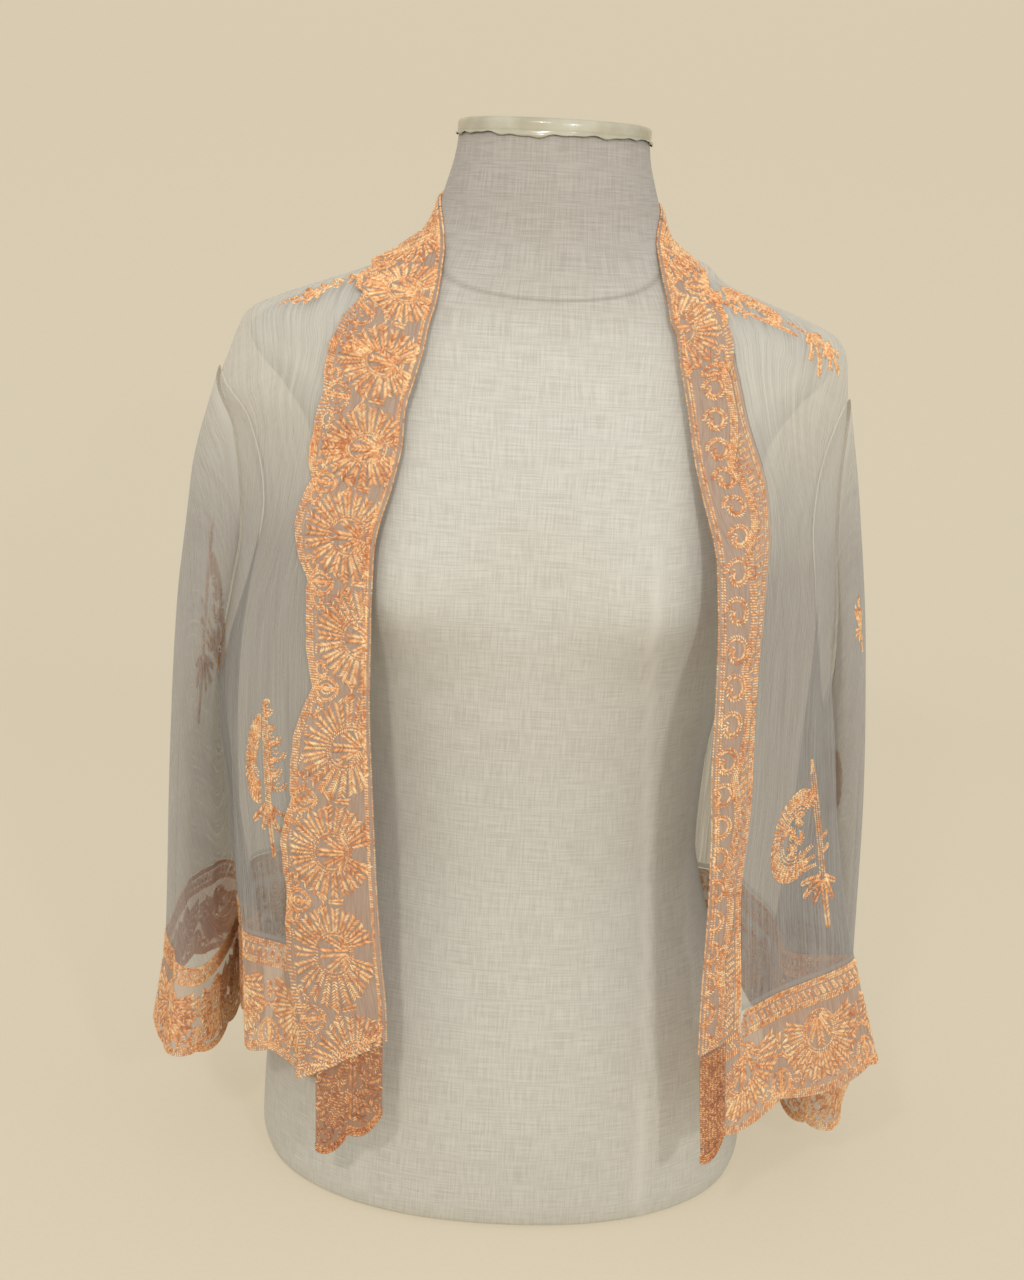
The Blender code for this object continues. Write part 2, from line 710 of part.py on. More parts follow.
def front_hem(side):
    tops, feet = hem_columns(side)
    panel_angles = front_places(side, panel_shares(FRONT_COLUMNS), np.ones(FRONT_COLUMNS))[0]
    return hem_surface(tops, feet, side.hem_scallops, np.sort(panel_angles))


def back_hem():
    share = np.linspace(0, 1, BACK_SCALLOPS * SAMPLES_A_SCALLOP + 1)
    angle = lerp(RIGHT_SIDE - SIDE_GAP_DEGREES, LEFT_SIDE + SIDE_GAP_DEGREES, share)
    top, foot = hem_line(angle) + SEAM_GAP, hem_line(angle) + HEM_DEPTH
    shares, foot_row = panel_shares(BACK_COLUMNS), np.ones(BACK_COLUMNS)
    halves = [back_places(side, shares, foot_row)[0] for side in (RIGHT, LEFT)]
    return hem_surface(places(angle, top), places(angle, foot), BACK_SCALLOPS, np.unique(halves))


# The sleeves hang as flattened tubes. t runs from the armhole to the cuff's foot; the outer and inner
# edges are given away from the middle of the body, the front and back edges by depth.
SLEEVE_COLUMNS = (
    "t",
    "out_x",
    "out_z",
    "in_x",
    "in_z",
    "front_x",
    "front_y",
    "front_z",
    "back_x",
    "back_y",
    "back_z",
)
RIGHT_SLEEVE_RINGS = (
    (0.00, 0.2145, 0.545, 0.2085, 0.343, 0.204, -0.046, 0.445, 0.204, 0.060, 0.445),
    (0.15, 0.2285, 0.485, 0.2075, 0.310, 0.212, -0.060, 0.390, 0.212, 0.078, 0.390),
    (0.35, 0.2320, 0.400, 0.2080, 0.255, 0.216, -0.070, 0.320, 0.216, 0.090, 0.320),
    (0.60, 0.2345, 0.285, 0.2040, 0.190, 0.217, -0.078, 0.235, 0.217, 0.098, 0.235),
    (0.82, 0.2380, 0.172, 0.1990, 0.155, 0.216, -0.080, 0.163, 0.216, 0.104, 0.160),
    (1.00, 0.2475, 0.094, 0.1975, 0.080, 0.220, -0.084, 0.097, 0.220, 0.108, 0.082),
)
LEFT_SLEEVE_RINGS = (
    (0.00, 0.2040, 0.545, 0.2060, 0.343, 0.199, -0.040, 0.445, 0.199, 0.066, 0.445),
    (0.15, 0.2175, 0.480, 0.2070, 0.310, 0.207, -0.045, 0.390, 0.210, 0.084, 0.390),
    (0.35, 0.2310, 0.390, 0.2060, 0.255, 0.214, -0.045, 0.320, 0.216, 0.098, 0.320),
    (0.60, 0.2400, 0.270, 0.2020, 0.180, 0.220, -0.042, 0.225, 0.220, 0.110, 0.220),
    (0.82, 0.2470, 0.140, 0.1990, 0.125, 0.222, -0.040, 0.124, 0.222, 0.120, 0.128),
    (1.00, 0.2540, 0.055, 0.2000, 0.043, 0.226, -0.041, 0.040, 0.226, 0.128, 0.050),
)
CUFF_SEAM = 0.82
SLEEVE_SPLITS = 32
CUFF_SCALLOPS = 7
TIP_ROUNDNESS = 0.05


def ring_turns():
    """Turns round a sleeve, spread so that its flat sides and its tight tips both have points."""
    fine = np.linspace(0, 2 * math.pi, 721)
    speed = np.hypot(TIP_ROUNDNESS * np.sin(fine), 0.095 * np.cos(fine))
    arc = np.concatenate([[0.0], np.cumsum((speed[1:] + speed[:-1]) / 2)])
    return np.interp(np.linspace(0, arc[-1], SLEEVE_SPLITS + 1)[:-1], arc, fine)


def armhole_loop(side, turns):
    """The sleeve's first ring, just outside the armhole: turn 0 at the shoulder, a quarter turn in front."""
    middle, half = (ARM_TOP + ARM_FOOT) / 2, (ARM_FOOT - ARM_TOP) / 2
    reach = middle - half * np.cos(turns)
    angle = side.side_angle + side.sign * np.sign(np.sin(turns)) * (arm_edge(reach) + ARM_OVERLAP)
    angle = np.where(np.abs(np.sin(turns)) < 1e-6, side.side_angle, angle)
    reach = reach - ARM_LAP * np.cos(turns)
    lift = SLEEVE_LIFT + TOP_LIFT * np.maximum(np.cos(turns), 0) ** 4
    return lifted(places(angle, reach), lift)[0]


def table_ring(side, rings, t, turns):
    """A ring of the hanging sleeve at t, worked out from its table."""
    part = {name: read(rings, SLEEVE_COLUMNS, name, t) for name in SLEEVE_COLUMNS[1:]}
    away = -side.sign
    out = np.array([away * part["out_x"], 0.0, part["out_z"]])
    inner = np.array([away * part["in_x"], 0.0, part["in_z"]])
    middle_y = (part["front_y"] + part["back_y"]) / 2
    out[1] = inner[1] = middle_y
    front = np.array([away * part["front_x"], part["front_y"], part["front_z"]])
    back = np.array([away * part["back_x"], part["back_y"], part["back_z"]])
    middle, across = (out + inner) / 2, (out - inner) / 2
    cosine, sine = np.cos(turns)[:, None], np.sin(turns)[:, None]
    ring = middle + across * power(cosine, 0.8)
    ring = ring + (front - middle) * np.maximum(sine, 0) + (back - middle) * np.maximum(-sine, 0)
    return ring


class Body:
    """Places of the body's cloth to hold the sleeves clear of."""

    def __init__(self, lift=0.0):
        angle, reach = np.meshgrid(np.arange(0.0, 360.0, 2.0), np.arange(0.190, 0.740, 0.008))
        limit = hem_line(angle) + HEM_DEPTH + 0.004
        keep = reach < limit
        self.points, self.normals = lifted(places(angle[keep], reach[keep]), lift)


def hold_off(points, body, clear):
    """Moves points out along the cloth's normal until they clear it."""
    flat = points.reshape(-1, 3).copy()
    for _ in range(3):
        for start in range(0, len(flat), 64):
            block = flat[start : start + 64]
            gaps = np.linalg.norm(block[:, None] - body.points[None], axis=2)
            near = gaps.argmin(1)
            out = dot(block - body.points[near], body.normals[near])
            short = np.maximum(clear - out, 0.0)
            close = gaps.min(1) < 0.05
            flat[start : start + 64] = block + (short * close)[:, None] * body.normals[near]
    return flat.reshape(points.shape)


def sleeve_ring(side, rings, t, turns):
    blend = float(ease(t / 0.30))
    loop = armhole_loop(side, turns)
    down = table_ring(side, rings, t, turns)
    top = table_ring(side, rings, 0.0, turns)
    return loop + (down - top) * (1 - blend) + (down - loop) * blend


def tube_normals(points):
    """Normals of rows of rings, from their own grid."""
    across = np.roll(points, -1, axis=1) - np.roll(points, 1, axis=1)
    down = np.gradient(points, axis=0)
    normal = np.cross(down, across)
    return normal / np.maximum(np.linalg.norm(normal, axis=-1, keepdims=True), 1e-9)


def whole_sleeve(side, rings, body):
    """Rings of the sleeve and of its cuff together, so that both share one form at their seam."""
    turns = ring_turns()
    levels = [0.0, 0.04, 0.10, 0.18, 0.28, 0.40, 0.54, 0.68, CUFF_SEAM, 0.91, 1.0]
    points = np.stack([sleeve_ring(side, rings, t, turns) for t in levels])
    points[2:] = hold_off(points[2:], body, SLEEVE_CLEAR)
    seam = levels.index(CUFF_SEAM)
    return points, tube_normals(points), seam


def sleeve(side, rings, body):
    points, normals, seam = whole_sleeve(side, rings, body)
    return points[: seam + 1], normals[: seam + 1]


def cuff(side, rings, body):
    points, normals, seam = whole_sleeve(side, rings, body)
    points, normals = points[seam:].copy(), normals[seam:]
    foot = points[-1]
    arc = np.concatenate([[0.0], np.cumsum(np.linalg.norm(np.diff(foot, axis=0), axis=1))])
    whole = arc[-1] + np.linalg.norm(foot[0] - foot[-1])
    short = HEM_SCALLOP * (1 - lobe(arc / whole * CUFF_SCALLOPS)) / CUFF_DEPTH
    drop = points[-1] - points[0]
    points[0] = points[0] + unit(points[1] - points[0]) * SEAM_GAP
    for row, share in ((1, 0.5), (2, 1.0)):
        points[row] = points[row] - drop * (short * share)[:, None]
    return points, normals


def grid_quads(ids, wrap=False):
    """Quads of a grid of point numbers, closed round its rows when wrap is set."""
    if wrap:
        ids = np.concatenate([ids, ids[:, :1]], axis=1)
    corners = [ids[:-1, :-1], ids[:-1, 1:], ids[1:, 1:], ids[1:, :-1]]
    return np.stack(corners, -1).reshape(-1, 4).tolist()


def wall_of(points, normals, quads):
    """Points and triangles of a closed wall on both sides of a surface, with a rim along its open edges."""
    count = len(points)
    faces, edges = [], set()
    for a, b, c, d in quads:
        faces += [(a, b, c), (a, c, d)]
        faces += [(count + a, count + c, count + b), (count + a, count + d, count + c)]
        edges |= {(a, b), (b, c), (c, d), (d, a)}
    for a, b in sorted(edges):
        if (b, a) not in edges:
            faces += [(b, a, count + a), (b, count + a, count + b)]
    both = np.concatenate([points + normals * WALL / 2, points - normals * WALL / 2])
    return outward(both, np.array(faces))


def wall(points, normals, wrap=False):
    """The same for a grid of points."""
    ids = np.arange(points.shape[0] * points.shape[1]).reshape(points.shape[:2])
    return wall_of(points.reshape(-1, 3), normals.reshape(-1, 3), grid_quads(ids, wrap))


def outward(points, faces):
    """Turns the triangles round when they face into the solid."""
    corners = points[faces]
    volume = np.einsum("ij,ij->i", corners[:, 0], np.cross(corners[:, 1], corners[:, 2])).sum()
    return points, faces if volume > 0 else faces[:, ::-1]


def stack_of_rings(rings):
    """A solid from rings going up, closed flat at both ends round a middle point."""
    levels, columns = rings.shape[:2]
    points = list(rings.reshape(-1, 3)) + [rings[0].mean(0), rings[-1].mean(0)]
    faces = []
    for row in range(levels - 1):
        for col in range(columns):
            a, b = row * columns + col, row * columns + (col + 1) % columns
            faces.append((a, b, b + columns))
            faces.append((a, b + columns, a + columns))
    top = (levels - 1) * columns
    for col in range(columns):
        after = (col + 1) % columns
        faces.append((after, col, levels * columns))
        faces.append((top + col, top + after, levels * columns + 1))
    return outward(np.array(points), np.array(faces))


FORM_SPLITS = 36
CAP_SPLITS = 32
CAP_RINGS = (
    (0.6923, 0.0600),
    (0.6950, 0.0606),
    (0.7010, 0.0606),
    (0.7045, 0.0594),
    (0.7062, 0.0560),
    (0.7066, 0.0480),
)
CAP_DEPTH_SHARE = 0.93


def form_solid():
    angle = np.arange(FORM_SPLITS) * 360.0 / FORM_SPLITS
    rows = column(FORM_RINGS, FORM_COLUMNS, "height")
    extra = [0.095, 0.163, 0.410, 0.440, 0.455, 0.530]
    heights = np.sort(np.concatenate([rows, extra]))
    return stack_of_rings(np.stack([form_point(angle, height) for height in heights]))


def cap_solid():
    angle = np.radians(np.arange(CAP_SPLITS) * 360.0 / CAP_SPLITS)
    rings = [
        np.stack([half * np.cos(angle), half * CAP_DEPTH_SHARE * np.sin(angle), 0 * angle + height], -1)
        for height, half in CAP_RINGS
    ]
    return stack_of_rings(np.stack(rings))


CHIFFON, EMBROIDERY, LINEN, CREAM = "chiffon", "embroidery", "linen", "cream_plastic"


def pieces():
    """Every piece by its node name: its material, points and triangles."""
    body = Body()
    made = {
        "back": (CHIFFON, wall_of(*back_panel())),
        "right_front": (CHIFFON, wall(*front_panel(RIGHT))),
        "left_front": (CHIFFON, wall(*front_panel(LEFT))),
        "right_sleeve": (CHIFFON, wall(*sleeve(RIGHT, RIGHT_SLEEVE_RINGS, body), wrap=True)),
        "left_sleeve": (CHIFFON, wall(*sleeve(LEFT, LEFT_SLEEVE_RINGS, body), wrap=True)),
        "right_front_border": (EMBROIDERY, wall(*front_border(RIGHT))),
        "left_front_border": (EMBROIDERY, wall(*front_border(LEFT))),
        "back_neck_border": (EMBROIDERY, wall(*neck_border())),
        "right_border_end": (EMBROIDERY, wall(*right_end())),
        "left_border_end": (EMBROIDERY, wall(*left_end())),
        "right_hem_border": (EMBROIDERY, wall(*front_hem(RIGHT))),
        "left_hem_border": (EMBROIDERY, wall(*front_hem(LEFT))),
        "back_hem_border": (EMBROIDERY, wall(*back_hem())),
        "right_cuff": (EMBROIDERY, wall(*cuff(RIGHT, RIGHT_SLEEVE_RINGS, body), wrap=True)),
        "left_cuff": (EMBROIDERY, wall(*cuff(LEFT, LEFT_SLEEVE_RINGS, body), wrap=True)),
        "dress_form": (LINEN, form_solid()),
        "neck_cap": (CREAM, cap_solid()),
    }
    return made


def right_end():
    return border_end(RIGHT, END_LIFT, (0.0, 0.045), -0.004, (0.715, 0.749), 9, 5, 2)


def left_end():
    return border_end(LEFT, FLAP_LIFT, (0.0, 0.017), 0.0009, (0.734, 0.717), 5, 5, 1)


COLORS = {
    CHIFFON: (0.52, 0.48, 0.41),
    EMBROIDERY: (0.73, 0.30, 0.11),
    LINEN: (0.58, 0.55, 0.46),
    CREAM: (0.72, 0.68, 0.55),
}
ROUGHNESS = {CHIFFON: 0.8, EMBROIDERY: 0.6, LINEN: 0.9, CREAM: 0.25}


def material(name):
    made = bpy.data.materials.new(name)
    made.use_nodes = True
    shader = made.node_tree.nodes["Principled BSDF"]
    shader.inputs["Base Color"].default_value = (*COLORS[name], 1.0)
    shader.inputs["Roughness"].default_value = ROUGHNESS[name]
    return made


def add_object(name, points, faces, slot):
    mesh = bpy.data.meshes.new(name)
    mesh.from_pydata([tuple(p) for p in points.tolist()], [], [tuple(f) for f in faces.tolist()])
    mesh.polygons.foreach_set("use_smooth", [True] * len(mesh.polygons))
    mesh.materials.append(material(slot))
    mesh.update()
    bpy.context.scene.collection.objects.link(bpy.data.objects.new(name, mesh))


def main():
    for old in list(bpy.data.objects):
        bpy.data.objects.remove(old, do_unlink=True)
    for name, (slot, (points, faces)) in pieces().items():
        add_object(name, points, faces, slot)


main()
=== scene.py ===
"""The look of a cropped kimono jacket on a dress form: sheer cloth, embroidered borders and motifs.

Metres, +Z up, -Y towards the jacket's open front, +X towards the wearer's left.
"""

import math

import bmesh
import bpy
import mathutils
import mathutils.kdtree
import numpy as np
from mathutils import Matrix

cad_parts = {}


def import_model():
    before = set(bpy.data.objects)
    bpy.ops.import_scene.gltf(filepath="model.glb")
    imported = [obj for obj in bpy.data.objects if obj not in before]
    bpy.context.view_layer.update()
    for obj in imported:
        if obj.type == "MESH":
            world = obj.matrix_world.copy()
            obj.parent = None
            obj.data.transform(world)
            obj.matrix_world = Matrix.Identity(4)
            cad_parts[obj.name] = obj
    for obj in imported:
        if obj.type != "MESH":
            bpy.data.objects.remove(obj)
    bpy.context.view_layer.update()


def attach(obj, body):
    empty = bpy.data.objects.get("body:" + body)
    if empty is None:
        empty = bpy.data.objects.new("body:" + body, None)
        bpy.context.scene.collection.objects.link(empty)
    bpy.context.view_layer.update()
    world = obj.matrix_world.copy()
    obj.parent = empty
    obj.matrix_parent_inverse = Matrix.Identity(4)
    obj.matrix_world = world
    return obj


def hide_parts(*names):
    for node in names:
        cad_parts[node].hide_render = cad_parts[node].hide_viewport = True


# Driving sizes, in metres: the gaps at the cloth's seams
SEAM_GAP = 0.0004
PANEL_GAP = 0.0006
SIDE_GAP_DEGREES = 0.08
# Depths of the embroidered borders and of their scallops
HEM_DEPTH = 0.083
HEM_SCALLOP = 0.007
FRONT_SCALLOP = 0.006
CUFF_DEPTH = 0.085
# How far layers stand off the cloth below them
FOLD_LIFT = 0.0022
EDGE_RISE = 0.0008
END_LIFT, FLAP_LIFT = 0.0046, 0.0018
SLEEVE_LIFT, TOP_LIFT = 0.0018, 0.0008
SLEEVE_CLEAR = 0.0026
# The width at which a strip's sloping foot and raised edge are stated, and where its foot starts to slope
FOOT_WIDTH = 0.045
FOOT_RUN = 0.070
# The dress form, from its flat base up to the cap
FORM_COLUMNS = ("height", "half_width", "front", "back", "squareness")
FORM_RINGS = (
    (0.000, 0.162, 0.109, 0.113, 2.2),
    (0.004, 0.1685, 0.115, 0.12, 2.2),
    (0.020, 0.1725, 0.119, 0.125, 2.2),
    (0.065, 0.171, 0.121, 0.128, 2.2),
    (0.125, 0.161, 0.114, 0.121, 2.2),
    (0.200, 0.134, 0.1, 0.1, 2.2),
    (0.250, 0.124, 0.095, 0.093, 2.2),
    (0.305, 0.126, 0.098, 0.096, 2.2),
    (0.365, 0.136, 0.108, 0.106, 2.2),
    (0.425, 0.147, 0.117, 0.114, 2.2),
    (0.475, 0.144, 0.114, 0.116, 2.2),
    (0.515, 0.149, 0.104, 0.112, 2.2),
    (0.545, 0.1675, 0.0905, 0.1015, 2.1),
    (0.563, 0.1840, 0.0830, 0.0935, 2),
    (0.575, 0.1885, 0.0775, 0.0865, 2),
    (0.585, 0.1835, 0.0735, 0.0790, 2),
    (0.595, 0.1675, 0.0690, 0.0735, 2),
    (0.606, 0.14, 0.067, 0.071, 2),
    (0.618, 0.108, 0.065, 0.067, 2),
    (0.630, 0.087, 0.063, 0.064, 2),
    (0.643, 0.074, 0.061, 0.062, 2),
    (0.660, 0.067, 0.059, 0.059, 2),
    (0.680, 0.0608, 0.056, 0.056, 2),
    (0.692, 0.0593, 0.055, 0.055, 2),
)
BUST_SIDE, BUST_HEIGHT = 0.078, 0.433
BUST_RISE, BUST_SPREAD, BUST_ABOVE, BUST_BELOW, BUST_FACING = 0.021, 0.045, 0.060, 0.038, 1.6
# The cloth's rings. reach is the real distance down the shoulder and the side from the neck.
CLOTH_COLUMNS = ("reach", "height", "right", "left", "front", "back", "squareness")
CLOTH_RINGS = (
    (0.000, 0.6690, 0.0665, 0.0665, 0.06, 0.06, 2),
    (0.026, 0.6450, 0.075, 0.075, 0.0635, 0.064, 2),
    (0.046, 0.6325, 0.0885, 0.0885, 0.0655, 0.0665, 2),
    (0.070, 0.6205, 0.1095, 0.1095, 0.0675, 0.0695, 2),
    (0.103, 0.6085, 0.1415, 0.1415, 0.0695, 0.0735, 2),
    (0.135, 0.5975, 0.1712, 0.171, 0.0735, 0.0785, 2),
    (0.156, 0.5875, 0.19, 0.1895, 0.0785, 0.0855, 2),
    (0.170, 0.5760, 0.1965, 0.1955, 0.084, 0.093, 2),
    (0.186, 0.5610, 0.202, 0.1975, 0.09, 0.1, 2.05),
    (0.204, 0.5430, 0.2075, 0.1985, 0.0965, 0.106, 2.1),
    (0.232, 0.5150, 0.198, 0.1985, 0.1075, 0.115, 2.15),
    (0.292, 0.4550, 0.193, 0.201, 0.129, 0.1235, 2.3),
    (0.332, 0.4150, 0.1975, 0.204, 0.135, 0.126, 2.3),
    (0.402, 0.3450, 0.2055, 0.203, 0.14, 0.129, 2.3),
    (0.482, 0.2650, 0.2, 0.196, 0.143, 0.133, 2.3),
    (0.572, 0.1750, 0.191, 0.19, 0.147, 0.138, 2.3),
    (0.662, 0.0850, 0.188, 0.188, 0.153, 0.144, 2.3),
)
BACK_ANGLE = 90.0
RIGHT_SIDE, LEFT_SIDE = 180.0, 0.0


def smooth(xs, ys, x):
    """A cubic through the rows of a table that never swings past them."""
    xs = np.asarray(xs, float)
    ys = np.asarray(ys, float)
    x = np.clip(x, xs[0], xs[-1])
    step = np.diff(xs)
    slope = np.diff(ys) / step
    tangent = np.zeros_like(ys)
    tangent[0], tangent[-1] = slope[0], slope[-1]
    rising = slope[:-1] * slope[1:] > 0
    total = np.where(rising, slope[:-1] + slope[1:], 1.0)
    tangent[1:-1] = np.where(rising, 2 * slope[:-1] * slope[1:] / total, 0.0)
    i = np.clip(np.searchsorted(xs, x, side="right") - 1, 0, len(step) - 1)
    t = (x - xs[i]) / step[i]
    h = step[i]
    return (
        (2 * t**3 - 3 * t**2 + 1) * ys[i]
        + (t**3 - 2 * t**2 + t) * h * tangent[i]
        + (3 * t**2 - 2 * t**3) * ys[i + 1]
        + (t**3 - t**2) * h * tangent[i + 1]
    )


def column(table, columns, name):
    return np.array([row[columns.index(name)] for row in table], float)


def read(table, columns, name, at):
    return smooth(column(table, columns, columns[0]), column(table, columns, name), at)


def ease(t):
    t = np.clip(t, 0.0, 1.0)
    return t * t * (3 - 2 * t)


def power(value, exponent):
    return np.sign(value) * np.abs(value) ** exponent


def form_point(angle, height):
    """A point of the form's surface: angle in degrees, 0 at +x, 90 at the back, 270 at the front."""
    a = np.radians(angle)
    half = read(FORM_RINGS, FORM_COLUMNS, "half_width", height)
    front = read(FORM_RINGS, FORM_COLUMNS, "front", height)
    back = read(FORM_RINGS, FORM_COLUMNS, "back", height)
    exponent = 2.0 / read(FORM_RINGS, FORM_COLUMNS, "squareness", height)
    x = half * power(np.cos(a), exponent)
    y = np.where(np.sin(a) < 0, front, back) * power(np.sin(a), exponent)
    spread = np.where(height > BUST_HEIGHT, BUST_ABOVE, BUST_BELOW)
    side = np.exp(-(((np.abs(x) - BUST_SIDE) / BUST_SPREAD) ** 2))
    tall = np.exp(-(((height - BUST_HEIGHT) / spread) ** 2))
    facing = ease(-np.sin(a) * BUST_FACING)
    y = y - BUST_RISE * side * tall * facing
    return np.stack(np.broadcast_arrays(x, y, height), -1)


# Soft folds: where round the body, how wide in degrees, how far out, where each starts and is full, and its
# lean in degrees over a stretch of reach
LEAN_REACH = 0.3
CLOTH_FOLDS = (
    (214.0, 7.0, 0.012, 0.33, 0.62, 4.0),
    (200.0, 6.0, -0.014, 0.36, 0.62, 0.0),
    (233.0, 6.0, 0.005, 0.30, 0.60, 0.0),
    (312.0, 8.0, 0.006, 0.30, 0.60, -6.0),
    (162.0, 7.0, 0.008, 0.34, 0.62, -3.0),
    (140.0, 7.0, 0.012, 0.26, 0.62, 4.0),
    (124.0, 6.0, -0.008, 0.30, 0.62, 0.0),
    (104.0, 8.0, 0.011, 0.20, 0.62, -3.0),
    (88.0, 6.0, -0.007, 0.28, 0.62, 0.0),
    (70.0, 8.0, 0.013, 0.24, 0.62, 5.0),
    (50.0, 7.0, -0.006, 0.30, 0.62, 0.0),
    (34.0, 8.0, 0.009, 0.30, 0.62, -4.0),
)
# The left front swings out over the sleeve below the underarm
WING_ANGLE, WING_BEFORE, WING_AFTER = 336.0, 22.0, 8.0
WING_OUT, WING_FORWARD, WING_LIFT = 0.074, 0.022, 0.030
WING_START, WING_FULL, WING_MOST, WING_GROWTH = 0.340, 0.655, 1.2, 1.3
# The left front's edge curls forwards: how far the fold line stands out, by reach
CURL_ANGLE, CURL_SPREAD, CURL_END = 303.0, 15.0, -25.0
CURL_PUSH = ((0.0, 0.0), (0.22, 0.0), (0.30, 0.008), (0.40, 0.020), (0.70, 0.022))


def turn(angle, centre):
    """Degrees from centre to angle, the short way round."""
    return (angle - centre + 180.0) % 360.0 - 180.0


def cloth_point(angle, reach):
    """The middle of the body's cloth at an angle round the body and a real distance from the neck."""
    angle, reach = np.broadcast_arrays(np.asarray(angle, float), np.asarray(reach, float))
    a = np.radians(angle)
    parts = {name: read(CLOTH_RINGS, CLOTH_COLUMNS, name, reach) for name in CLOTH_COLUMNS[1:]}
    beyond = np.maximum(reach - CLOTH_RINGS[-1][0], 0.0)
    above = np.minimum(reach, 0.0)
    exponent = 2.0 / parts["squareness"]
    half = np.where(np.cos(a) > 0, parts["left"], parts["right"])
    depth = np.where(np.sin(a) < 0, parts["front"], parts["back"])
    x = half * power(np.cos(a), exponent)
    y = depth * power(np.sin(a), exponent)
    z = parts["height"] - beyond - above
    for fold_angle, spread, rise, start, full, lean in CLOTH_FOLDS:
        grown = ease((reach - start) / (full - start))
        centre = fold_angle + lean * (reach - full) / LEAN_REACH
        amount = rise * grown * np.exp(-((turn(angle, centre) / spread) ** 2))
        x = x + amount * np.cos(a)
        y = y + amount * np.sin(a)
    away = turn(angle, WING_ANGLE)
    spread = np.where(away < 0, WING_BEFORE, WING_AFTER)
    grown = np.clip((reach - WING_START) / (WING_FULL - WING_START), 0, WING_MOST) ** WING_GROWTH
    swing = np.exp(-((away / spread) ** 2)) * grown
    x = x + WING_OUT * swing
    y = y - WING_FORWARD * swing
    z = z + WING_LIFT * swing
    push = smooth(*zip(*CURL_PUSH), reach) * ease(1.0 - turn(angle, CURL_ANGLE) / CURL_SPREAD)
    y = y - push * (turn(angle, CURL_ANGLE) > CURL_END)
    return np.stack([x, y, z], -1)


def cloth_normal(angle, reach):
    """Unit normal of the body's cloth, pointing away from the form."""
    across, down = tangents(angle, reach)
    return unit(np.cross(down, across))


# The front border's fold line, from the nape to its lower end. Angles run past the side into the front.
EDGE_COLUMNS = ("angle", "reach")
RIGHT_EDGE = (
    (90.0, -0.002), (125.0, -0.001), (155.0, 0.001), (175.0, 0.0045), (190.0, 0.01), (202.0, 0.0185),
    (213.0, 0.031), (224.0, 0.047), (231.5, 0.064), (238.4, 0.086), (243.5, 0.111), (246.6, 0.136),
    (248.2, 0.16), (248.4, 0.19), (247.4, 0.222), (246.0, 0.25), (243.6, 0.294), (245.3, 0.366),
    (246.5, 0.415), (247.4, 0.492), (248.2, 0.544), (249.3, 0.584), (249.8, 0.68), (250.0, 0.705),
)
LEFT_EDGE = (
    (90.0, -0.002), (55.0, -0.001), (25.0, 0.001), (5.0, 0.0045), (-10.0, 0.01), (-22.0, 0.0185),
    (-33.5, 0.034), (-44.5, 0.056), (-53.8, 0.083), (-60.5, 0.114), (-64.2, 0.143), (-65.1, 0.168),
    (-64.6, 0.195), (-63.7, 0.22), (-62.0, 0.25), (-60.0, 0.289), (-59.6, 0.34), (-59.3, 0.405),
    (-57.6, 0.457), (-56.8, 0.509), (-56.6, 0.59), (-55.9, 0.66), (-55.6, 0.705),
)
# Small steps over the cloth that its slopes and the fold line's direction are worked out from
STEP_ANGLE, STEP_REACH, EDGE_STEP = 0.2, 0.0015, 0.018
# The grid of places kept beside each fold line: its step both ways, how many steps wide it is, how far it
# starts before the nape, and how finely the line between two rows of its table is measured
MAP_STEP, MAP_WIDTHS, MAP_BEFORE, EDGE_SAMPLES = 0.003, 25, 0.03, 40


def tangents(angle, reach):
    """Surface steps per degree and per metre of reach."""
    across = cloth_point(angle + STEP_ANGLE, reach) - cloth_point(angle - STEP_ANGLE, reach)
    down = cloth_point(angle, reach + STEP_REACH) - cloth_point(angle, reach - STEP_REACH)
    return across / (2 * STEP_ANGLE), down / (2 * STEP_REACH)


def dot(a, b):
    return np.sum(a * b, -1)


def unit(vector):
    return vector / np.linalg.norm(vector, axis=-1, keepdims=True)


def run_lengths(line):
    """How far along a line of points each of them is."""
    return np.concatenate([[0.0], np.cumsum(np.linalg.norm(np.diff(line, axis=0), axis=1))])


def frame_at(angle, reach):
    """Unit steps round the body and towards the hem, at right angles in the cloth."""
    across, down = tangents(angle, reach)
    down = unit(down)
    across = unit(across - dot(across, down)[..., None] * down)
    return across, down


def walk(angle, reach, across, down, steps=8):
    """Where a walk over the cloth ends, given real metres round the body and towards the hem."""
    angle, reach, across, down = np.broadcast_arrays(angle, reach, across, down)
    angle, reach = angle.astype(float), reach.astype(float)
    for _ in range(steps):
        by_angle, by_reach = tangents(angle, reach)
        e_across, e_down = frame_at(angle, reach)
        move = (across[..., None] * e_across + down[..., None] * e_down) / steps
        aa, ar, rr = dot(by_angle, by_angle), dot(by_angle, by_reach), dot(by_reach, by_reach)
        ma, mr = dot(by_angle, move), dot(by_reach, move)
        spread = aa * rr - ar * ar
        angle = angle + (ma * rr - mr * ar) / spread
        reach = reach + (mr * aa - ma * ar) / spread
    return angle, reach


def between_cells(grid, row, column):
    """Values of a grid at fractions of its rows and columns."""
    r, c = row.astype(int), column.astype(int)
    fr, fc = (row - r)[..., None], (column - c)[..., None]
    upper = grid[r, c] * (1 - fc) + grid[r, c + 1] * fc
    lower = grid[r + 1, c] * (1 - fc) + grid[r + 1, c + 1] * fc
    return upper * (1 - fr) + lower * fr


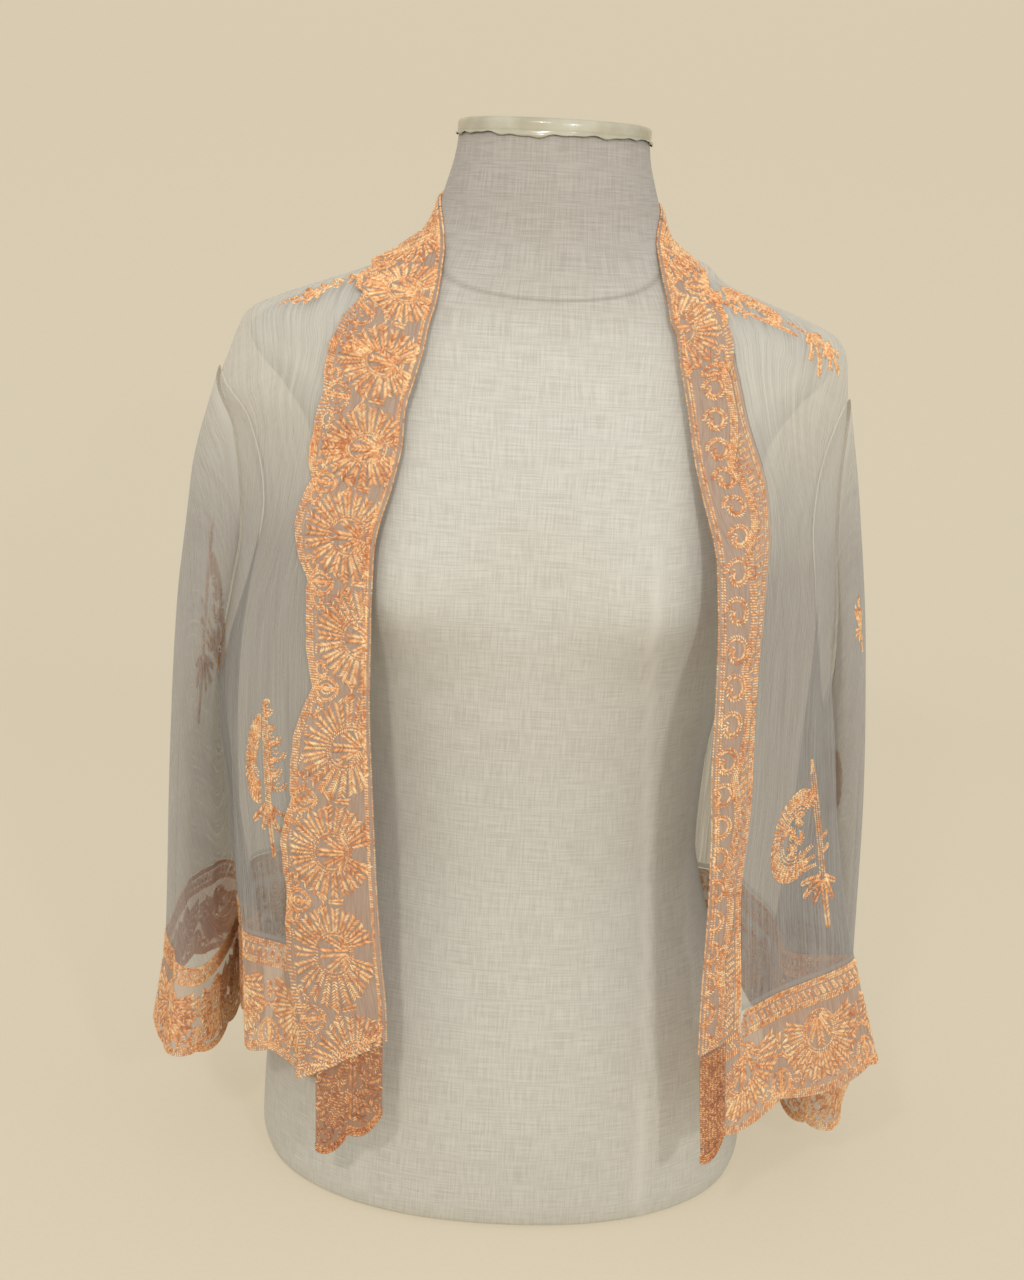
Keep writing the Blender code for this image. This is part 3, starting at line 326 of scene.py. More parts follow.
class Edge:
    """The border's fold line as a curve with a real length, counted from the nape."""

    def __init__(self, rows, outward):
        self.angles = column(rows, EDGE_COLUMNS, "angle")
        self.reaches = column(rows, EDGE_COLUMNS, "reach")
        self.outward = outward
        self.count = np.arange(len(rows), dtype=float)
        fine = np.linspace(0, len(rows) - 1, EDGE_SAMPLES * len(rows))
        points = cloth_point(smooth(self.count, self.angles, fine), smooth(self.count, self.reaches, fine))
        self.fine, self.along = fine, run_lengths(points)
        self.length = self.along[-1]
        self.rows = np.arange(-MAP_BEFORE, self.length, MAP_STEP)
        self.map = self.spread_out()

    def place(self, along):
        """Angle and reach at a length from the nape. Past the nape the line is mirrored."""
        at = np.interp(np.abs(along), self.along, self.fine)
        angle = smooth(self.count, self.angles, at)
        return np.where(np.asarray(along) < 0, 180.0 - angle, angle), smooth(self.count, self.reaches, at)

    def out_at(self, along):
        """Unit direction away from the opening, in the cloth."""
        before = cloth_point(*self.place(along - EDGE_STEP))
        after = cloth_point(*self.place(along + EDGE_STEP))
        return unit(np.cross(unit(after - before), cloth_normal(*self.place(along)))) * self.outward

    def spread_out(self):
        """Angles and reaches over a grid of lengths along the line and widths away from it."""
        angle, reach = self.place(self.rows)
        side = self.out_at(self.rows)
        e_across, e_down = frame_at(angle, reach)
        across, down = dot(side, e_across) * MAP_STEP, dot(side, e_down) * MAP_STEP
        found = [(angle, reach)]
        for _ in range(MAP_WIDTHS):
            found.append(walk(*found[-1], across, down, steps=1))
        return np.stack([np.stack(place, -1) for place in found], 1)

    def offset(self, along, width):
        """The place a real width away from the fold line, over the cloth."""
        along, width = np.broadcast_arrays(np.asarray(along, float), np.asarray(width, float))
        row = np.clip((along - self.rows[0]) / MAP_STEP, 0, len(self.rows) - 1.001)
        column = np.clip(width / MAP_STEP, 0, MAP_WIDTHS - 0.001)
        found = between_cells(self.map, row, column)
        return found[..., 0], found[..., 1]


# Where the hem borders are sewn on, as a reach for each angle round the body
HEM_LINE = (
    (-75.0, 0.572), (0.0, 0.572), (90.0, 0.566), (180.0, 0.557), (215.0, 0.551), (285.0, 0.550),
)
ARM_TOP, ARM_FOOT = 0.200, 0.402
ARM_OPENING, ARM_OVERLAP, ARM_LAP = 17.0, 0.6, 0.003
NECK_SHARE = 0.2
BACK_SCALLOPS = 9
LOBE_ROUNDNESS = 0.8
# Where the strips' meeting with the sides and the hem line is searched for, as lengths from the nape
SEARCH_FROM, SEARCH_SHORT, SEARCH_SAMPLES, HEM_FROM = 0.08, 0.004, 600, 0.3


def hem_line(angle):
    return smooth(*zip(*HEM_LINE), (np.asarray(angle, float) + 75.0) % 360.0 - 75.0)


def lerp(a, b, t):
    return a + (b - a) * t


def lobe(phase):
    """0 at a cusp between two scallops, where phase is whole, and 1 at the middle of each."""
    return np.abs(np.sin(math.pi * phase)) ** LOBE_ROUNDNESS


class Side:
    """What differs between the wearer's right and left. Widths are measured from the fold line."""

    def __init__(self, edge, sign, under, shown, cusps, foot, foot_slope, hem_from_fold, hem_scallops):
        self.edge, self.sign = edge, sign
        self.side_angle = RIGHT_SIDE if sign > 0 else LEFT_SIDE
        self.under, self.shown, self.cusps = under, shown, cusps
        self.foot, self.foot_slope = foot, foot_slope
        self.hem_from_fold, self.hem_scallops = hem_from_fold, hem_scallops
        along = np.linspace(SEARCH_FROM, edge.length - SEARCH_SHORT, SEARCH_SAMPLES)
        angle, reach = edge.offset(along, self.under_width(along))
        self.shoulder = float(np.interp(0.0, sign * (angle - self.side_angle), along))
        low = along > HEM_FROM
        self.hem_along = float(np.interp(0.0, (reach - hem_line(angle))[low], along[low]))

    def under_width(self, along):
        return smooth(*zip(*self.under), along)

    def shown_width(self, along):
        """The visible width of the folded strip, in and out with the scallops."""
        return smooth(*zip(*self.shown), along) - FRONT_SCALLOP * (1 - lobe(self.phase(along)))

    def phase(self, along):
        """How many scallops lie between the nape and a place along the strip."""
        return np.interp(along, self.cusps, np.arange(len(self.cusps)))

    def seam(self, along, extra=0.0):
        return self.edge.offset(along, self.under_width(along) + extra)

    def foot_at(self, width):
        """How far along the strip ends, for a width from the fold line."""
        return self.foot + self.foot_slope * width / FOOT_WIDTH


RIGHT = Side(
    Edge(RIGHT_EDGE, 1),
    sign=1,
    under=((0.0, 0.035), (0.45, 0.035), (0.57, 0.027), (0.75, 0.025)),
    shown=(
        (0.0, 0.048), (0.10, 0.050), (0.20, 0.057), (0.29, 0.057), (0.345, 0.053), (0.395, 0.042),
        (0.425, 0.041), (0.475, 0.052), (0.535, 0.0635), (0.60, 0.0665), (0.66, 0.058), (0.75, 0.050),
    ),
    cusps=(0.0, 0.056, 0.112, 0.164, 0.214, 0.261, 0.316, 0.370, 0.434, 0.504, 0.569, 0.632, 0.695, 0.755),
    foot=0.660,
    foot_slope=0.026,
    hem_from_fold=False,
    hem_scallops=3,
)
LEFT = Side(
    Edge(LEFT_EDGE, -1),
    sign=-1,
    under=(
        (0.0, 0.035), (0.20, 0.0345), (0.25, 0.036), (0.305, 0.0445), (0.36, 0.0370),
        (0.42, 0.0325), (0.48, 0.0325), (0.555, 0.0245), (0.62, 0.029), (0.75, 0.030),
    ),
    shown=(
        (0.0, 0.048), (0.12, 0.042), (0.18, 0.036), (0.217, 0.036), (0.25, 0.030),
        (0.285, 0.029), (0.32, 0.032), (0.355, 0.026), (0.42, 0.025),
        (0.47, 0.022), (0.52, 0.0175), (0.62, 0.0155), (0.75, 0.014),
    ),
    cusps=(0.0, 0.058, 0.116, 0.174, 0.233, 0.288, 0.342, 0.410, 0.477, 0.5375, 0.598, 0.660, 0.72),
    foot=0.655,
    foot_slope=-0.0188,
    hem_from_fold=True,
    hem_scallops=4,
)


def arm_edge(reach):
    """Half the armhole's width in degrees round the body."""
    t = np.clip((reach - ARM_TOP) / (ARM_FOOT - ARM_TOP), 0.0, 1.0)
    return ARM_OPENING * np.sin(math.pi * t**0.85) ** 0.75


def places(angle, reach):
    return np.stack(np.broadcast_arrays(angle, reach), 0)


def patch(top, bottom, inner, outer, u, v):
    """Places inside four edges that meet at their corners, by transfinite blending."""
    blend = (1 - v) * top(u) + v * bottom(u) + (1 - u) * inner(v) + u * outer(v)
    zero, one = 0 * u, 0 * u + 1
    corners = (1 - u) * (1 - v) * top(zero) + u * (1 - v) * top(one)
    return blend - corners - (1 - u) * v * bottom(zero) - u * v * bottom(one)


def outer_edge(side, facing, v):
    """The armhole and the side seam of a panel: facing is 1 for a front and -1 for a back."""
    reach = lerp(ARM_TOP, float(hem_line(side.side_angle)), v)
    return places(side.side_angle + facing * side.sign * (arm_edge(reach) + SIDE_GAP_DEGREES), reach)


def hem_edge(side, start, end, u):
    """The seam to the hem border between two places, one at each end."""
    angle = lerp(start[0], end[0], u)
    off = (1 - u) * (start[1] - hem_line(start[0])) + u * (end[1] - hem_line(end[0]))
    return places(angle, hem_line(angle) + off)


def front_places(side, u, v):
    """Places over a front panel: u from the border's seam to the side, v from the shoulder to the hem."""
    first = side.shoulder + SEAM_GAP
    start = [float(value) for value in side.seam(first, PANEL_GAP)]
    foot = [float(value) for value in side.seam(side.hem_along, PANEL_GAP)]
    side_line = side.side_angle + side.sign * SIDE_GAP_DEGREES
    last = [side_line, float(hem_line(side.side_angle))]

    def top(u):
        return places(lerp(start[0], side_line, u), lerp(start[1], ARM_TOP, u))

    def inner(v):
        return places(*side.seam(lerp(first, side.hem_along, v), PANEL_GAP))

    def bottom(u):
        return hem_edge(side, foot, last, u)

    def outer(v):
        return outer_edge(side, 1, v)

    return patch(top, bottom, inner, outer, u, v)


def back_places(side, u, v):
    """The same over half of the back: the inner edge runs round the neck, then down the middle."""
    last_along = side.shoulder - SEAM_GAP
    corner = [float(value) for value in side.seam(last_along, PANEL_GAP)]
    nape = [BACK_ANGLE, float(side.seam(0.0, PANEL_GAP)[1])]
    side_line = side.side_angle - side.sign * SIDE_GAP_DEGREES
    foot = [BACK_ANGLE, float(hem_line(BACK_ANGLE))]
    last = [side_line, float(hem_line(side.side_angle))]

    def top(u):
        return places(lerp(corner[0], side_line, u), lerp(corner[1], ARM_TOP, u))

    def inner(v):
        angle, reach = side.seam(last_along * (1 - np.clip(v / NECK_SHARE, 0, 1)), PANEL_GAP)
        past = np.clip((v - NECK_SHARE) / (1 - NECK_SHARE), 0, 1)
        below = v >= NECK_SHARE - 1e-9
        angle = np.where(below, BACK_ANGLE, angle)
        return places(angle, np.where(below, lerp(nape[1], foot[1], past), reach))

    def bottom(u):
        return hem_edge(side, foot, last, u)

    def outer(v):
        return outer_edge(side, -1, v)

    return patch(top, bottom, inner, outer, u, v)


def lifted(place, lift):
    """Points and normals of the cloth at places, moved out from the body."""
    normal = cloth_normal(*place)
    return cloth_point(*place) + normal * np.asarray(lift)[..., None], normal


# The sleeves hang as flattened tubes. t runs from the armhole to the cuff's foot; the outer and inner
# edges are given away from the middle of the body, the front and back edges by depth.
SLEEVE_COLUMNS = (
    "t", "out_x", "out_z", "in_x", "in_z", "front_x", "front_y", "front_z", "back_x", "back_y",
    "back_z",
)
RIGHT_SLEEVE_RINGS = (
    (0.00, 0.2145, 0.545, 0.2085, 0.343, 0.204, -0.046, 0.445, 0.204, 0.060, 0.445),
    (0.15, 0.2285, 0.485, 0.2075, 0.310, 0.212, -0.060, 0.390, 0.212, 0.078, 0.390),
    (0.35, 0.2320, 0.400, 0.2080, 0.255, 0.216, -0.070, 0.320, 0.216, 0.090, 0.320),
    (0.60, 0.2345, 0.285, 0.2040, 0.190, 0.217, -0.078, 0.235, 0.217, 0.098, 0.235),
    (0.82, 0.2380, 0.172, 0.1990, 0.155, 0.216, -0.080, 0.163, 0.216, 0.104, 0.160),
    (1.00, 0.2475, 0.094, 0.1975, 0.080, 0.220, -0.084, 0.097, 0.220, 0.108, 0.082),
)
LEFT_SLEEVE_RINGS = (
    (0.00, 0.2040, 0.545, 0.2060, 0.343, 0.199, -0.040, 0.445, 0.199, 0.066, 0.445),
    (0.15, 0.2175, 0.480, 0.2070, 0.310, 0.207, -0.045, 0.390, 0.210, 0.084, 0.390),
    (0.35, 0.2310, 0.390, 0.2060, 0.255, 0.214, -0.045, 0.320, 0.216, 0.098, 0.320),
    (0.60, 0.2400, 0.270, 0.2020, 0.180, 0.220, -0.042, 0.225, 0.220, 0.110, 0.220),
    (0.82, 0.2470, 0.140, 0.1990, 0.125, 0.222, -0.040, 0.124, 0.222, 0.120, 0.128),
    (1.00, 0.2540, 0.055, 0.2000, 0.043, 0.226, -0.041, 0.040, 0.226, 0.128, 0.050),
)
CUFF_SEAM = 0.82
CUFF_SCALLOPS = 7
# How round and how deep a sleeve is, for its even spread of points, and how square its rings are
TIP_ROUNDNESS, SLEEVE_HALF_DEPTH, RING_SQUARENESS = 0.05, 0.095, 0.8
# From the armhole to this share of its length a sleeve turns from its armhole's shape into its table's
ARM_BLEND = 0.30
# Sleeves are held clear of points of the body's cloth this far apart, in rounds, where they come this near
BODY_STEP_DEGREES, BODY_STEP, BODY_TOP, BODY_FOOT, BODY_PAST_HEM = 2.0, 0.008, 0.190, 0.740, 0.004
HOLD_ROUNDS, HOLD_NEAR = 3, 0.05


def armhole_loop(side, turns):
    """The sleeve's first ring, just outside the armhole: turn 0 at the shoulder, a quarter turn in front."""
    middle, half = (ARM_TOP + ARM_FOOT) / 2, (ARM_FOOT - ARM_TOP) / 2
    reach = middle - half * np.cos(turns)
    angle = side.side_angle + side.sign * np.sign(np.sin(turns)) * (arm_edge(reach) + ARM_OVERLAP)
    angle = np.where(np.abs(np.sin(turns)) < 1e-6, side.side_angle, angle)
    reach = reach - ARM_LAP * np.cos(turns)
    lift = SLEEVE_LIFT + TOP_LIFT * np.maximum(np.cos(turns), 0) ** 4
    return lifted(places(angle, reach), lift)[0]


def table_ring(side, rings, t, turns):
    """A ring of the hanging sleeve at t, worked out from its table."""
    part = {name: read(rings, SLEEVE_COLUMNS, name, t) for name in SLEEVE_COLUMNS[1:]}
    away = -side.sign
    middle_y = (part["front_y"] + part["back_y"]) / 2
    out = np.array([away * part["out_x"], middle_y, part["out_z"]])
    inner = np.array([away * part["in_x"], middle_y, part["in_z"]])
    front = np.array([away * part["front_x"], part["front_y"], part["front_z"]])
    back = np.array([away * part["back_x"], part["back_y"], part["back_z"]])
    middle, across = (out + inner) / 2, (out - inner) / 2
    cosine, sine = np.cos(turns)[:, None], np.sin(turns)[:, None]
    ring = middle + across * power(cosine, RING_SQUARENESS)
    return ring + (front - middle) * np.maximum(sine, 0) + (back - middle) * np.maximum(-sine, 0)


class Body:
    """Places of the body's cloth to hold the sleeves clear of."""

    def __init__(self):
        angles = np.arange(0.0, 360.0, BODY_STEP_DEGREES)
        angle, reach = np.meshgrid(angles, np.arange(BODY_TOP, BODY_FOOT, BODY_STEP))
        keep = reach < hem_line(angle) + HEM_DEPTH + BODY_PAST_HEM
        self.points, self.normals = lifted(places(angle[keep], reach[keep]), 0.0)
        self.tree = mathutils.kdtree.KDTree(len(self.points))
        for index, point in enumerate(self.points.tolist()):
            self.tree.insert(point, index)
        self.tree.balance()


def hold_off(points, body):
    """Moves points out along the cloth's normal until they clear it."""
    flat = points.reshape(-1, 3).copy()
    for _ in range(HOLD_ROUNDS):
        found = [body.tree.find(point) for point in flat.tolist()]
        near = np.array([index for _, index, _ in found])
        close = np.array([gap for _, _, gap in found]) < HOLD_NEAR
        out = dot(flat - body.points[near], body.normals[near])
        short = np.maximum(SLEEVE_CLEAR - out, 0.0)
        flat = flat + (short * close)[:, None] * body.normals[near]
    return flat.reshape(points.shape)


def sleeve_ring(side, rings, t, turns):
    """A ring of the whole sleeve at t: the armhole's loop at first, then the table's rings."""
    blend = float(ease(t / ARM_BLEND))
    loop = armhole_loop(side, turns)
    down = table_ring(side, rings, t, turns)
    top = table_ring(side, rings, 0.0, turns)
    return loop + (down - top) * (1 - blend) + (down - loop) * blend


def tube_normals(points):
    """Normals of rows of rings, from their own grid."""
    across = np.roll(points, -1, axis=1) - np.roll(points, 1, axis=1)
    down = np.gradient(points, axis=0)
    normal = np.cross(down, across)
    return normal / np.maximum(np.linalg.norm(normal, axis=-1, keepdims=True), 1e-9)


# The cap's heights and half-widths, and its depth as a share of its width
CAP_RINGS = (
    (0.6923, 0.0600), (0.6950, 0.0606), (0.7010, 0.0606),
    (0.7045, 0.0594), (0.7062, 0.0560), (0.7066, 0.0480),
)
CAP_DEPTH_SHARE = 0.93
# How finely the cloth is sampled: its rows along the strips, its columns across them and the sleeves' rings
ROW_STEP = 0.0022
UNDER_FINE = np.linspace(1.0, 0.05, 8)
BEND_FINE = (36.0, 72.0, 108.0, 144.0)
SHOWN_FINE = np.linspace(0.03, 1.0, 24)
HEM_ROWS_FINE = 30
SLEEVE_LEVELS, CUFF_LEVELS, TUBE_SPLITS, END_COLUMNS = 72, 24, 144, 40
# Stitches round a cuff keep no margin at the ends of their count
NO_MARGIN = -1.0


def closed(grid):
    """A grid with its first column repeated after its last one, so that it goes all the way round."""
    return np.concatenate([grid, grid[:, :1]], axis=1)


# The corners of a grid's cell as steps down and across, in both senses of turning
DOWN_FIRST = ((0, 0), (1, 0), (1, 1), (0, 1))
ACROSS_FIRST = ((0, 0), (0, 1), (1, 1), (1, 0))


def cell_corners(grid, order):
    """What stands at the four corners of every cell of a grid, one cell after another."""
    rows, columns = grid.shape[:2]
    corners = [grid[r : rows - 1 + r, c : columns - 1 + c] for r, c in order]
    return np.stack(corners, 2).reshape((-1, 4) + grid.shape[2:])


class Cloth:
    """A grid of points and normals that stitches are laid on by row and column numbers."""

    def __init__(self, points, normals, wrap=False):
        if wrap:
            points, normals = closed(points), closed(normals)
        self.points, self.normals, self.wrap = points, unit(normals), wrap

    def at(self, row, column):
        """Points and normals at fractions of rows and columns."""
        rows, columns = self.points.shape[:2]
        row = np.clip(row, 0, rows - 1.001)
        column = np.clip(column, 0, columns - 1.001)
        points = between_cells(self.points, row, column)
        return points, unit(between_cells(self.normals, row, column))


def arc_lengths(points, axis):
    """Real distance of each grid point from the grid's first line."""
    steps = np.linalg.norm(np.diff(points, axis=axis), axis=-1)
    start = np.zeros_like(np.take(steps, [0], axis=axis))
    return np.concatenate([start, np.cumsum(steps, axis=axis)], axis=axis)


def make_object(name, points, polygons, uv=None, values=None):
    """A mesh object from arrays: polygons all have the same number of corners."""
    polygons = np.asarray(polygons, np.int32)
    count, corners = polygons.shape
    mesh = bpy.data.meshes.new(name)
    mesh.vertices.add(len(points))
    mesh.vertices.foreach_set("co", np.asarray(points, np.float32).ravel())
    mesh.loops.add(count * corners)
    mesh.loops.foreach_set("vertex_index", polygons.ravel())
    mesh.polygons.add(count)
    mesh.polygons.foreach_set("loop_start", np.arange(0, count * corners, corners, dtype=np.int32))
    mesh.polygons.foreach_set("use_smooth", np.full(count, True))
    if uv is not None:
        layer = mesh.uv_layers.new(name="UVMap")
        layer.data.foreach_set("uv", np.asarray(uv, np.float32).ravel())
    for key, numbers in (values or {}).items():
        attribute = mesh.attributes.new(key, "FLOAT", "POINT")
        attribute.data.foreach_set("value", np.asarray(numbers, np.float32).ravel())
    mesh.update(calc_edges=True)
    made = bpy.data.objects.new(name, mesh)
    bpy.context.scene.collection.objects.link(made)
    return made


def shell(name, cloth, material, dense=None):
    """A thin sheet of cloth on a grid, with its own grain in metres as UV coordinates."""
    rows, columns = cloth.points.shape[:2]
    grain = np.stack([arc_lengths(cloth.points, 1), arc_lengths(cloth.points, 0)], -1)
    corner = cloth.points[rows // 2 : rows // 2 + 2, :2]
    facing = np.cross(corner[1, 0] - corner[0, 0], corner[0, 1] - corner[0, 0])
    outward = cloth.normals[rows // 2, 0]
    if cloth.wrap:
        outward = corner[0, 0] - cloth.points[rows // 2].mean(0)
        columns = columns - 1
    ids = np.arange(rows * columns).reshape(rows, columns)
    order = DOWN_FIRST[::-1] if dot(facing, outward) < 0 else DOWN_FIRST
    quads = cell_corners(closed(ids) if cloth.wrap else ids, order)
    dense = np.zeros((rows, columns)) if dense is None else dense[:, :columns]
    points = cloth.points[:, :columns].reshape(-1, 3)
    made = make_object(name, points, quads, cell_corners(grain, order), {"dense": dense})
    made.data.materials.append(material)
    return made


# The embroidered border's repeat, in metres: x along it from the middle of a scallop, d in from its edge
REPEAT = 0.060
# Stitches: chain rows are one stitch wide, ropes are two that mirror each other
CHAIN_PITCH, CHAIN_HALF, CHAIN_SLANT = 0.00145, 0.00095, math.radians(58.0)
ROPE_PITCH, ROPE_SLANT = 0.00145, math.radians(50.0)
STITCH_HALF_WIDTH, STITCH_HEIGHT = 0.00058, 0.00080
EDGE_ROWS, EDGE_ROW_GAP, EDGE_FIRST = 4, 0.00160, 0.00095
EGG_MIDDLE, EGG_HALF_WIDTH, EGG_HALF_DEPTH = 0.0450, 0.0118, 0.0155
EGG_RINGS = ((1.0, 1.0), (0.85, 0.88))
EGG_LEAVES = (
    (0.0, 0.0235, 0.00294), (-24.0, 0.0200, 0.00238), (24.0, 0.0200, 0.00238),
    (-52.0, 0.0120, 0.00224), (52.0, 0.0120, 0.00224),
)
EGG_ROOT, LEAF_BASE = 0.0030, 0.14
FAN_MIDDLE, FAN_HALF_WIDTH, FAN_HALF_DEPTH, FAN_PETALS, FAN_SPAN = 0.0440, 0.0270, 0.0332, 17, 112.0
FAN_LIMIT, PETAL_GAP, PETAL_BASE, PETAL_TIP = 0.0640, 0.0006, 0.00165, 0.00330
SCROLL_PLACES, SCROLL_RADIUS, SCROLL_HALF = ((-0.0188, 0.0133, 1), (0.0188, 0.0133, -1)), 0.0047, 0.0010
LEAF_NEAR, LEAF_FAR, LEAF_HALF_WIDTH, LEAF_LINE, LEAF_CORE = 0.0085, 0.0285, 0.0062, 0.00125, 0.52
FILLER_ROPES = (
    ((0.0240, 0.0335), (0.0292, 0.0400), 0.00182),
    ((-0.0240, 0.0335), (-0.0292, 0.0400), 0.00182),
    ((0.0292, 0.0430), (0.0292, 0.0545), 0.00210),
    ((0.0110, 0.0090), (0.0050, 0.0105), 0.0013),
    ((-0.0110, 0.0090), (-0.0050, 0.0105), 0.0013),
)
# The strips' shells have more petals. Chain rows lie beside and over the fold, which takes a short length
STRIP_FAN, FOLD_ROWS, BEND_LENGTH = (21, 160.0, 0.080), (-0.0012, 0.0011, 0.0028), 0.0024
# Below this length from the left shoulder the strip has one row of scrolls in place of shells
CURLS_FROM = 0.155
CURL_PLACES, CURL_SIZE = ((-0.0200, 0.0150), (0.0, 0.0150), (0.0200, 0.0150)), 1.5
# The ropes along the left strip's free end, and across the right strip's foot
FLAP_ROWS, FLAP_LENGTH = (0.0012, 0.0032, 0.0052, 0.0072, 0.0092, 0.0112, 0.0132, 0.0152), 0.084
FOOT_ROPES, FOOT_ACROSS = ((0.0022, 0.0022), (0.0060, 0.0015)), 0.045
SEWN_ROPES = (0.0010, 0.0026, 0.0042, 0.0144, 0.0160, 0.0176)
LADDER_NEAR, LADDER_FAR, LADDER_PITCH, LADDER_HALF, LADDER_BEND = 0.0060, 0.0126, 0.0050, 0.00155, 0.55
# A scroll's turn in degrees and how far it winds in, and how far the two rows of a rope lie apart and reach
SCROLL_TURN, SCROLL_CLOSING = 400.0, 0.80
ROPE_SIDE, ROPE_REACH = 0.52, 0.74
# How much the stitches' slants and sizes vary
SLANT_SPREAD, SIZE_LEAST, SIZE_MOST = 0.09, 0.90, 1.12


def curve(xs, ds):
    return np.stack(np.broadcast_arrays(xs, ds), -1).astype(float)


def chain(path, half=CHAIN_HALF):
    """A row of single stitches: its path, its half-widths at both ends, and that it isn't doubled."""
    return path, half, half, False


def rope(path, start_half, end_half=None):
    """A thick row of mirrored stitches, from one half-width to another."""
    return path, start_half, start_half if end_half is None else end_half, True


def ellipse_path(middle, half_width, half_depth, start=0.0, end=360.0, count=60):
    """Part of an ellipse in the border's plane. 0 degrees points along the border, 90 to its edge."""
    turn_by = np.radians(np.linspace(start, end, count))
    return curve(half_width * np.cos(turn_by), middle - half_depth * np.sin(turn_by))


def scroll_path(x, d, hand, radius=SCROLL_RADIUS):
    """A C-shaped curl that winds into its own middle."""
    t = np.linspace(0, 1, 40)
    turn_by = math.radians(90.0) + np.radians(SCROLL_TURN * t) * hand
    grown = radius * (1.0 - SCROLL_CLOSING * t**3)
    return curve(x + grown * np.cos(turn_by), d + grown * np.sin(turn_by))


def leaf_path(start, end, half_width, count=20):
    """A pointed oval between two ends, and back to where it starts."""
    start, end = np.array(start, float), np.array(end, float)
    out = end - start
    side = np.array([-out[1], out[0]]) / np.linalg.norm(out)
    t = np.linspace(0, 1, count)[:, None]
    half = half_width * np.sin(math.pi * t) ** 0.75
    return np.concatenate([start + out * t + side * half, (start + out * t - side * half)[::-1]])


def edge_rows():
    """Chain rows that follow the scallops."""
    xs = np.linspace(-REPEAT / 2, REPEAT / 2, 60)
    indent = HEM_SCALLOP * (1 - lobe(0.5 + xs / REPEAT))
    return [chain(curve(xs, indent + EDGE_FIRST + EDGE_ROW_GAP * row)) for row in range(EDGE_ROWS)]


def fan_rows(petals=FAN_PETALS, span=FAN_SPAN, limit=FAN_LIMIT):
    """The shell: an egg with leaves inside it and thick petals round it."""
    rows = [chain(ellipse_path(EGG_MIDDLE, EGG_HALF_WIDTH * w, EGG_HALF_DEPTH * d)) for w, d in EGG_RINGS]
    root = EGG_MIDDLE + EGG_HALF_DEPTH - EGG_ROOT
    for lean, length, half in EGG_LEAVES:
        turn_by = math.radians(lean)
        tip = (length * math.sin(turn_by), root - length * math.cos(turn_by))
        base = (LEAF_BASE * tip[0], root - LEAF_BASE * length * math.cos(turn_by))
        rows.append(rope(np.linspace(base, tip, 8), half * 0.7, half))
    for number in range(petals):
        lean = math.radians(90.0 + span * (2 * number / (petals - 1) - 1))
        inner = EGG_MIDDLE - (EGG_HALF_DEPTH + PETAL_GAP) * math.sin(lean)
        outer = FAN_MIDDLE - FAN_HALF_DEPTH * math.sin(lean)
        base = ((EGG_HALF_WIDTH + PETAL_GAP) * math.cos(lean), min(inner, limit))
        tip = (FAN_HALF_WIDTH * math.cos(lean), min(outer, limit))
        rows.append(rope(np.linspace(base, tip, 10), PETAL_BASE, PETAL_TIP))
    return rows


def cusp_rows():
    """The pointed leaf that lies across the border at each cusp, cut in half by the repeat's two ends."""
    rows = []
    for end in (-1, 1):
        x = end * REPEAT / 2
        core = LEAF_CORE * (LEAF_FAR - LEAF_NEAR) / 2
        middle = (LEAF_FAR + LEAF_NEAR) / 2
        outline = leaf_path((x, LEAF_NEAR), (x, LEAF_FAR), LEAF_HALF_WIDTH)
        inner = leaf_path((x, middle - core), (x, middle + core), LEAF_HALF_WIDTH * 0.45)
        inside = outline[:, 0] * end <= REPEAT / 2 + 1e-6
        rows.append(rope(outline[inside], LEAF_LINE))
        rows.append(chain(inner[inner[:, 0] * end <= REPEAT / 2 + 1e-6]))
    return rows


def fill_rows(*fan):
    """One repeat of what lies between the edge's rows and the ladder."""
    scrolls = [rope(scroll_path(*place), SCROLL_HALF, 0.0015) for place in SCROLL_PLACES]
    fillers = [rope(np.linspace(base, tip, 6), half * 0.6, half) for base, tip, half in FILLER_ROPES]
    return fan_rows(*fan) + cusp_rows() + scrolls + fillers


def along_repeat(depths):
    """Straight chain rows through a repeat, at some depths."""
    xs = np.linspace(-REPEAT / 2, REPEAT / 2, 30)
    return [chain(curve(xs, depth)) for depth in depths]


def sewn_rows():
    """One repeat of the rows and the ladder, counted from the edge that is sewn to the panel."""
    rows = along_repeat(SEWN_ROPES)
    for number in range(round(REPEAT / LADDER_PITCH)):
        x = number * LADDER_PITCH - REPEAT / 2
        bend = np.linspace(0, 1, 8)
        bar = curve(x + LADDER_PITCH * LADDER_BEND * bend**1.4, lerp(LADDER_NEAR, LADDER_FAR, bend))
        rows.append(rope(bar, LADDER_HALF * 0.7, LADDER_HALF))
    return rows


def curl_rows():
    """One row of scrolls, for the narrow strip."""
    curls = []
    for place in CURL_PLACES:
        path = np.array(scroll_path(*place, 1))
        curls.append(rope((path - place) * CURL_SIZE + place, SCROLL_HALF * 1.3, 0.0022))
    return curls


def flap_rows():
    """Ropes along the narrow free end."""
    return [rope(curve([x, x], [0.0065, FLAP_LENGTH]), 0.00115) for x in FLAP_ROWS]


def foot_rows():
    """The thick ropes of the rolled crease across the strip's foot."""
    return [rope(curve(np.linspace(0.001, FOOT_ACROSS - 0.001, 30), up), half) for up, half in FOOT_ROPES]


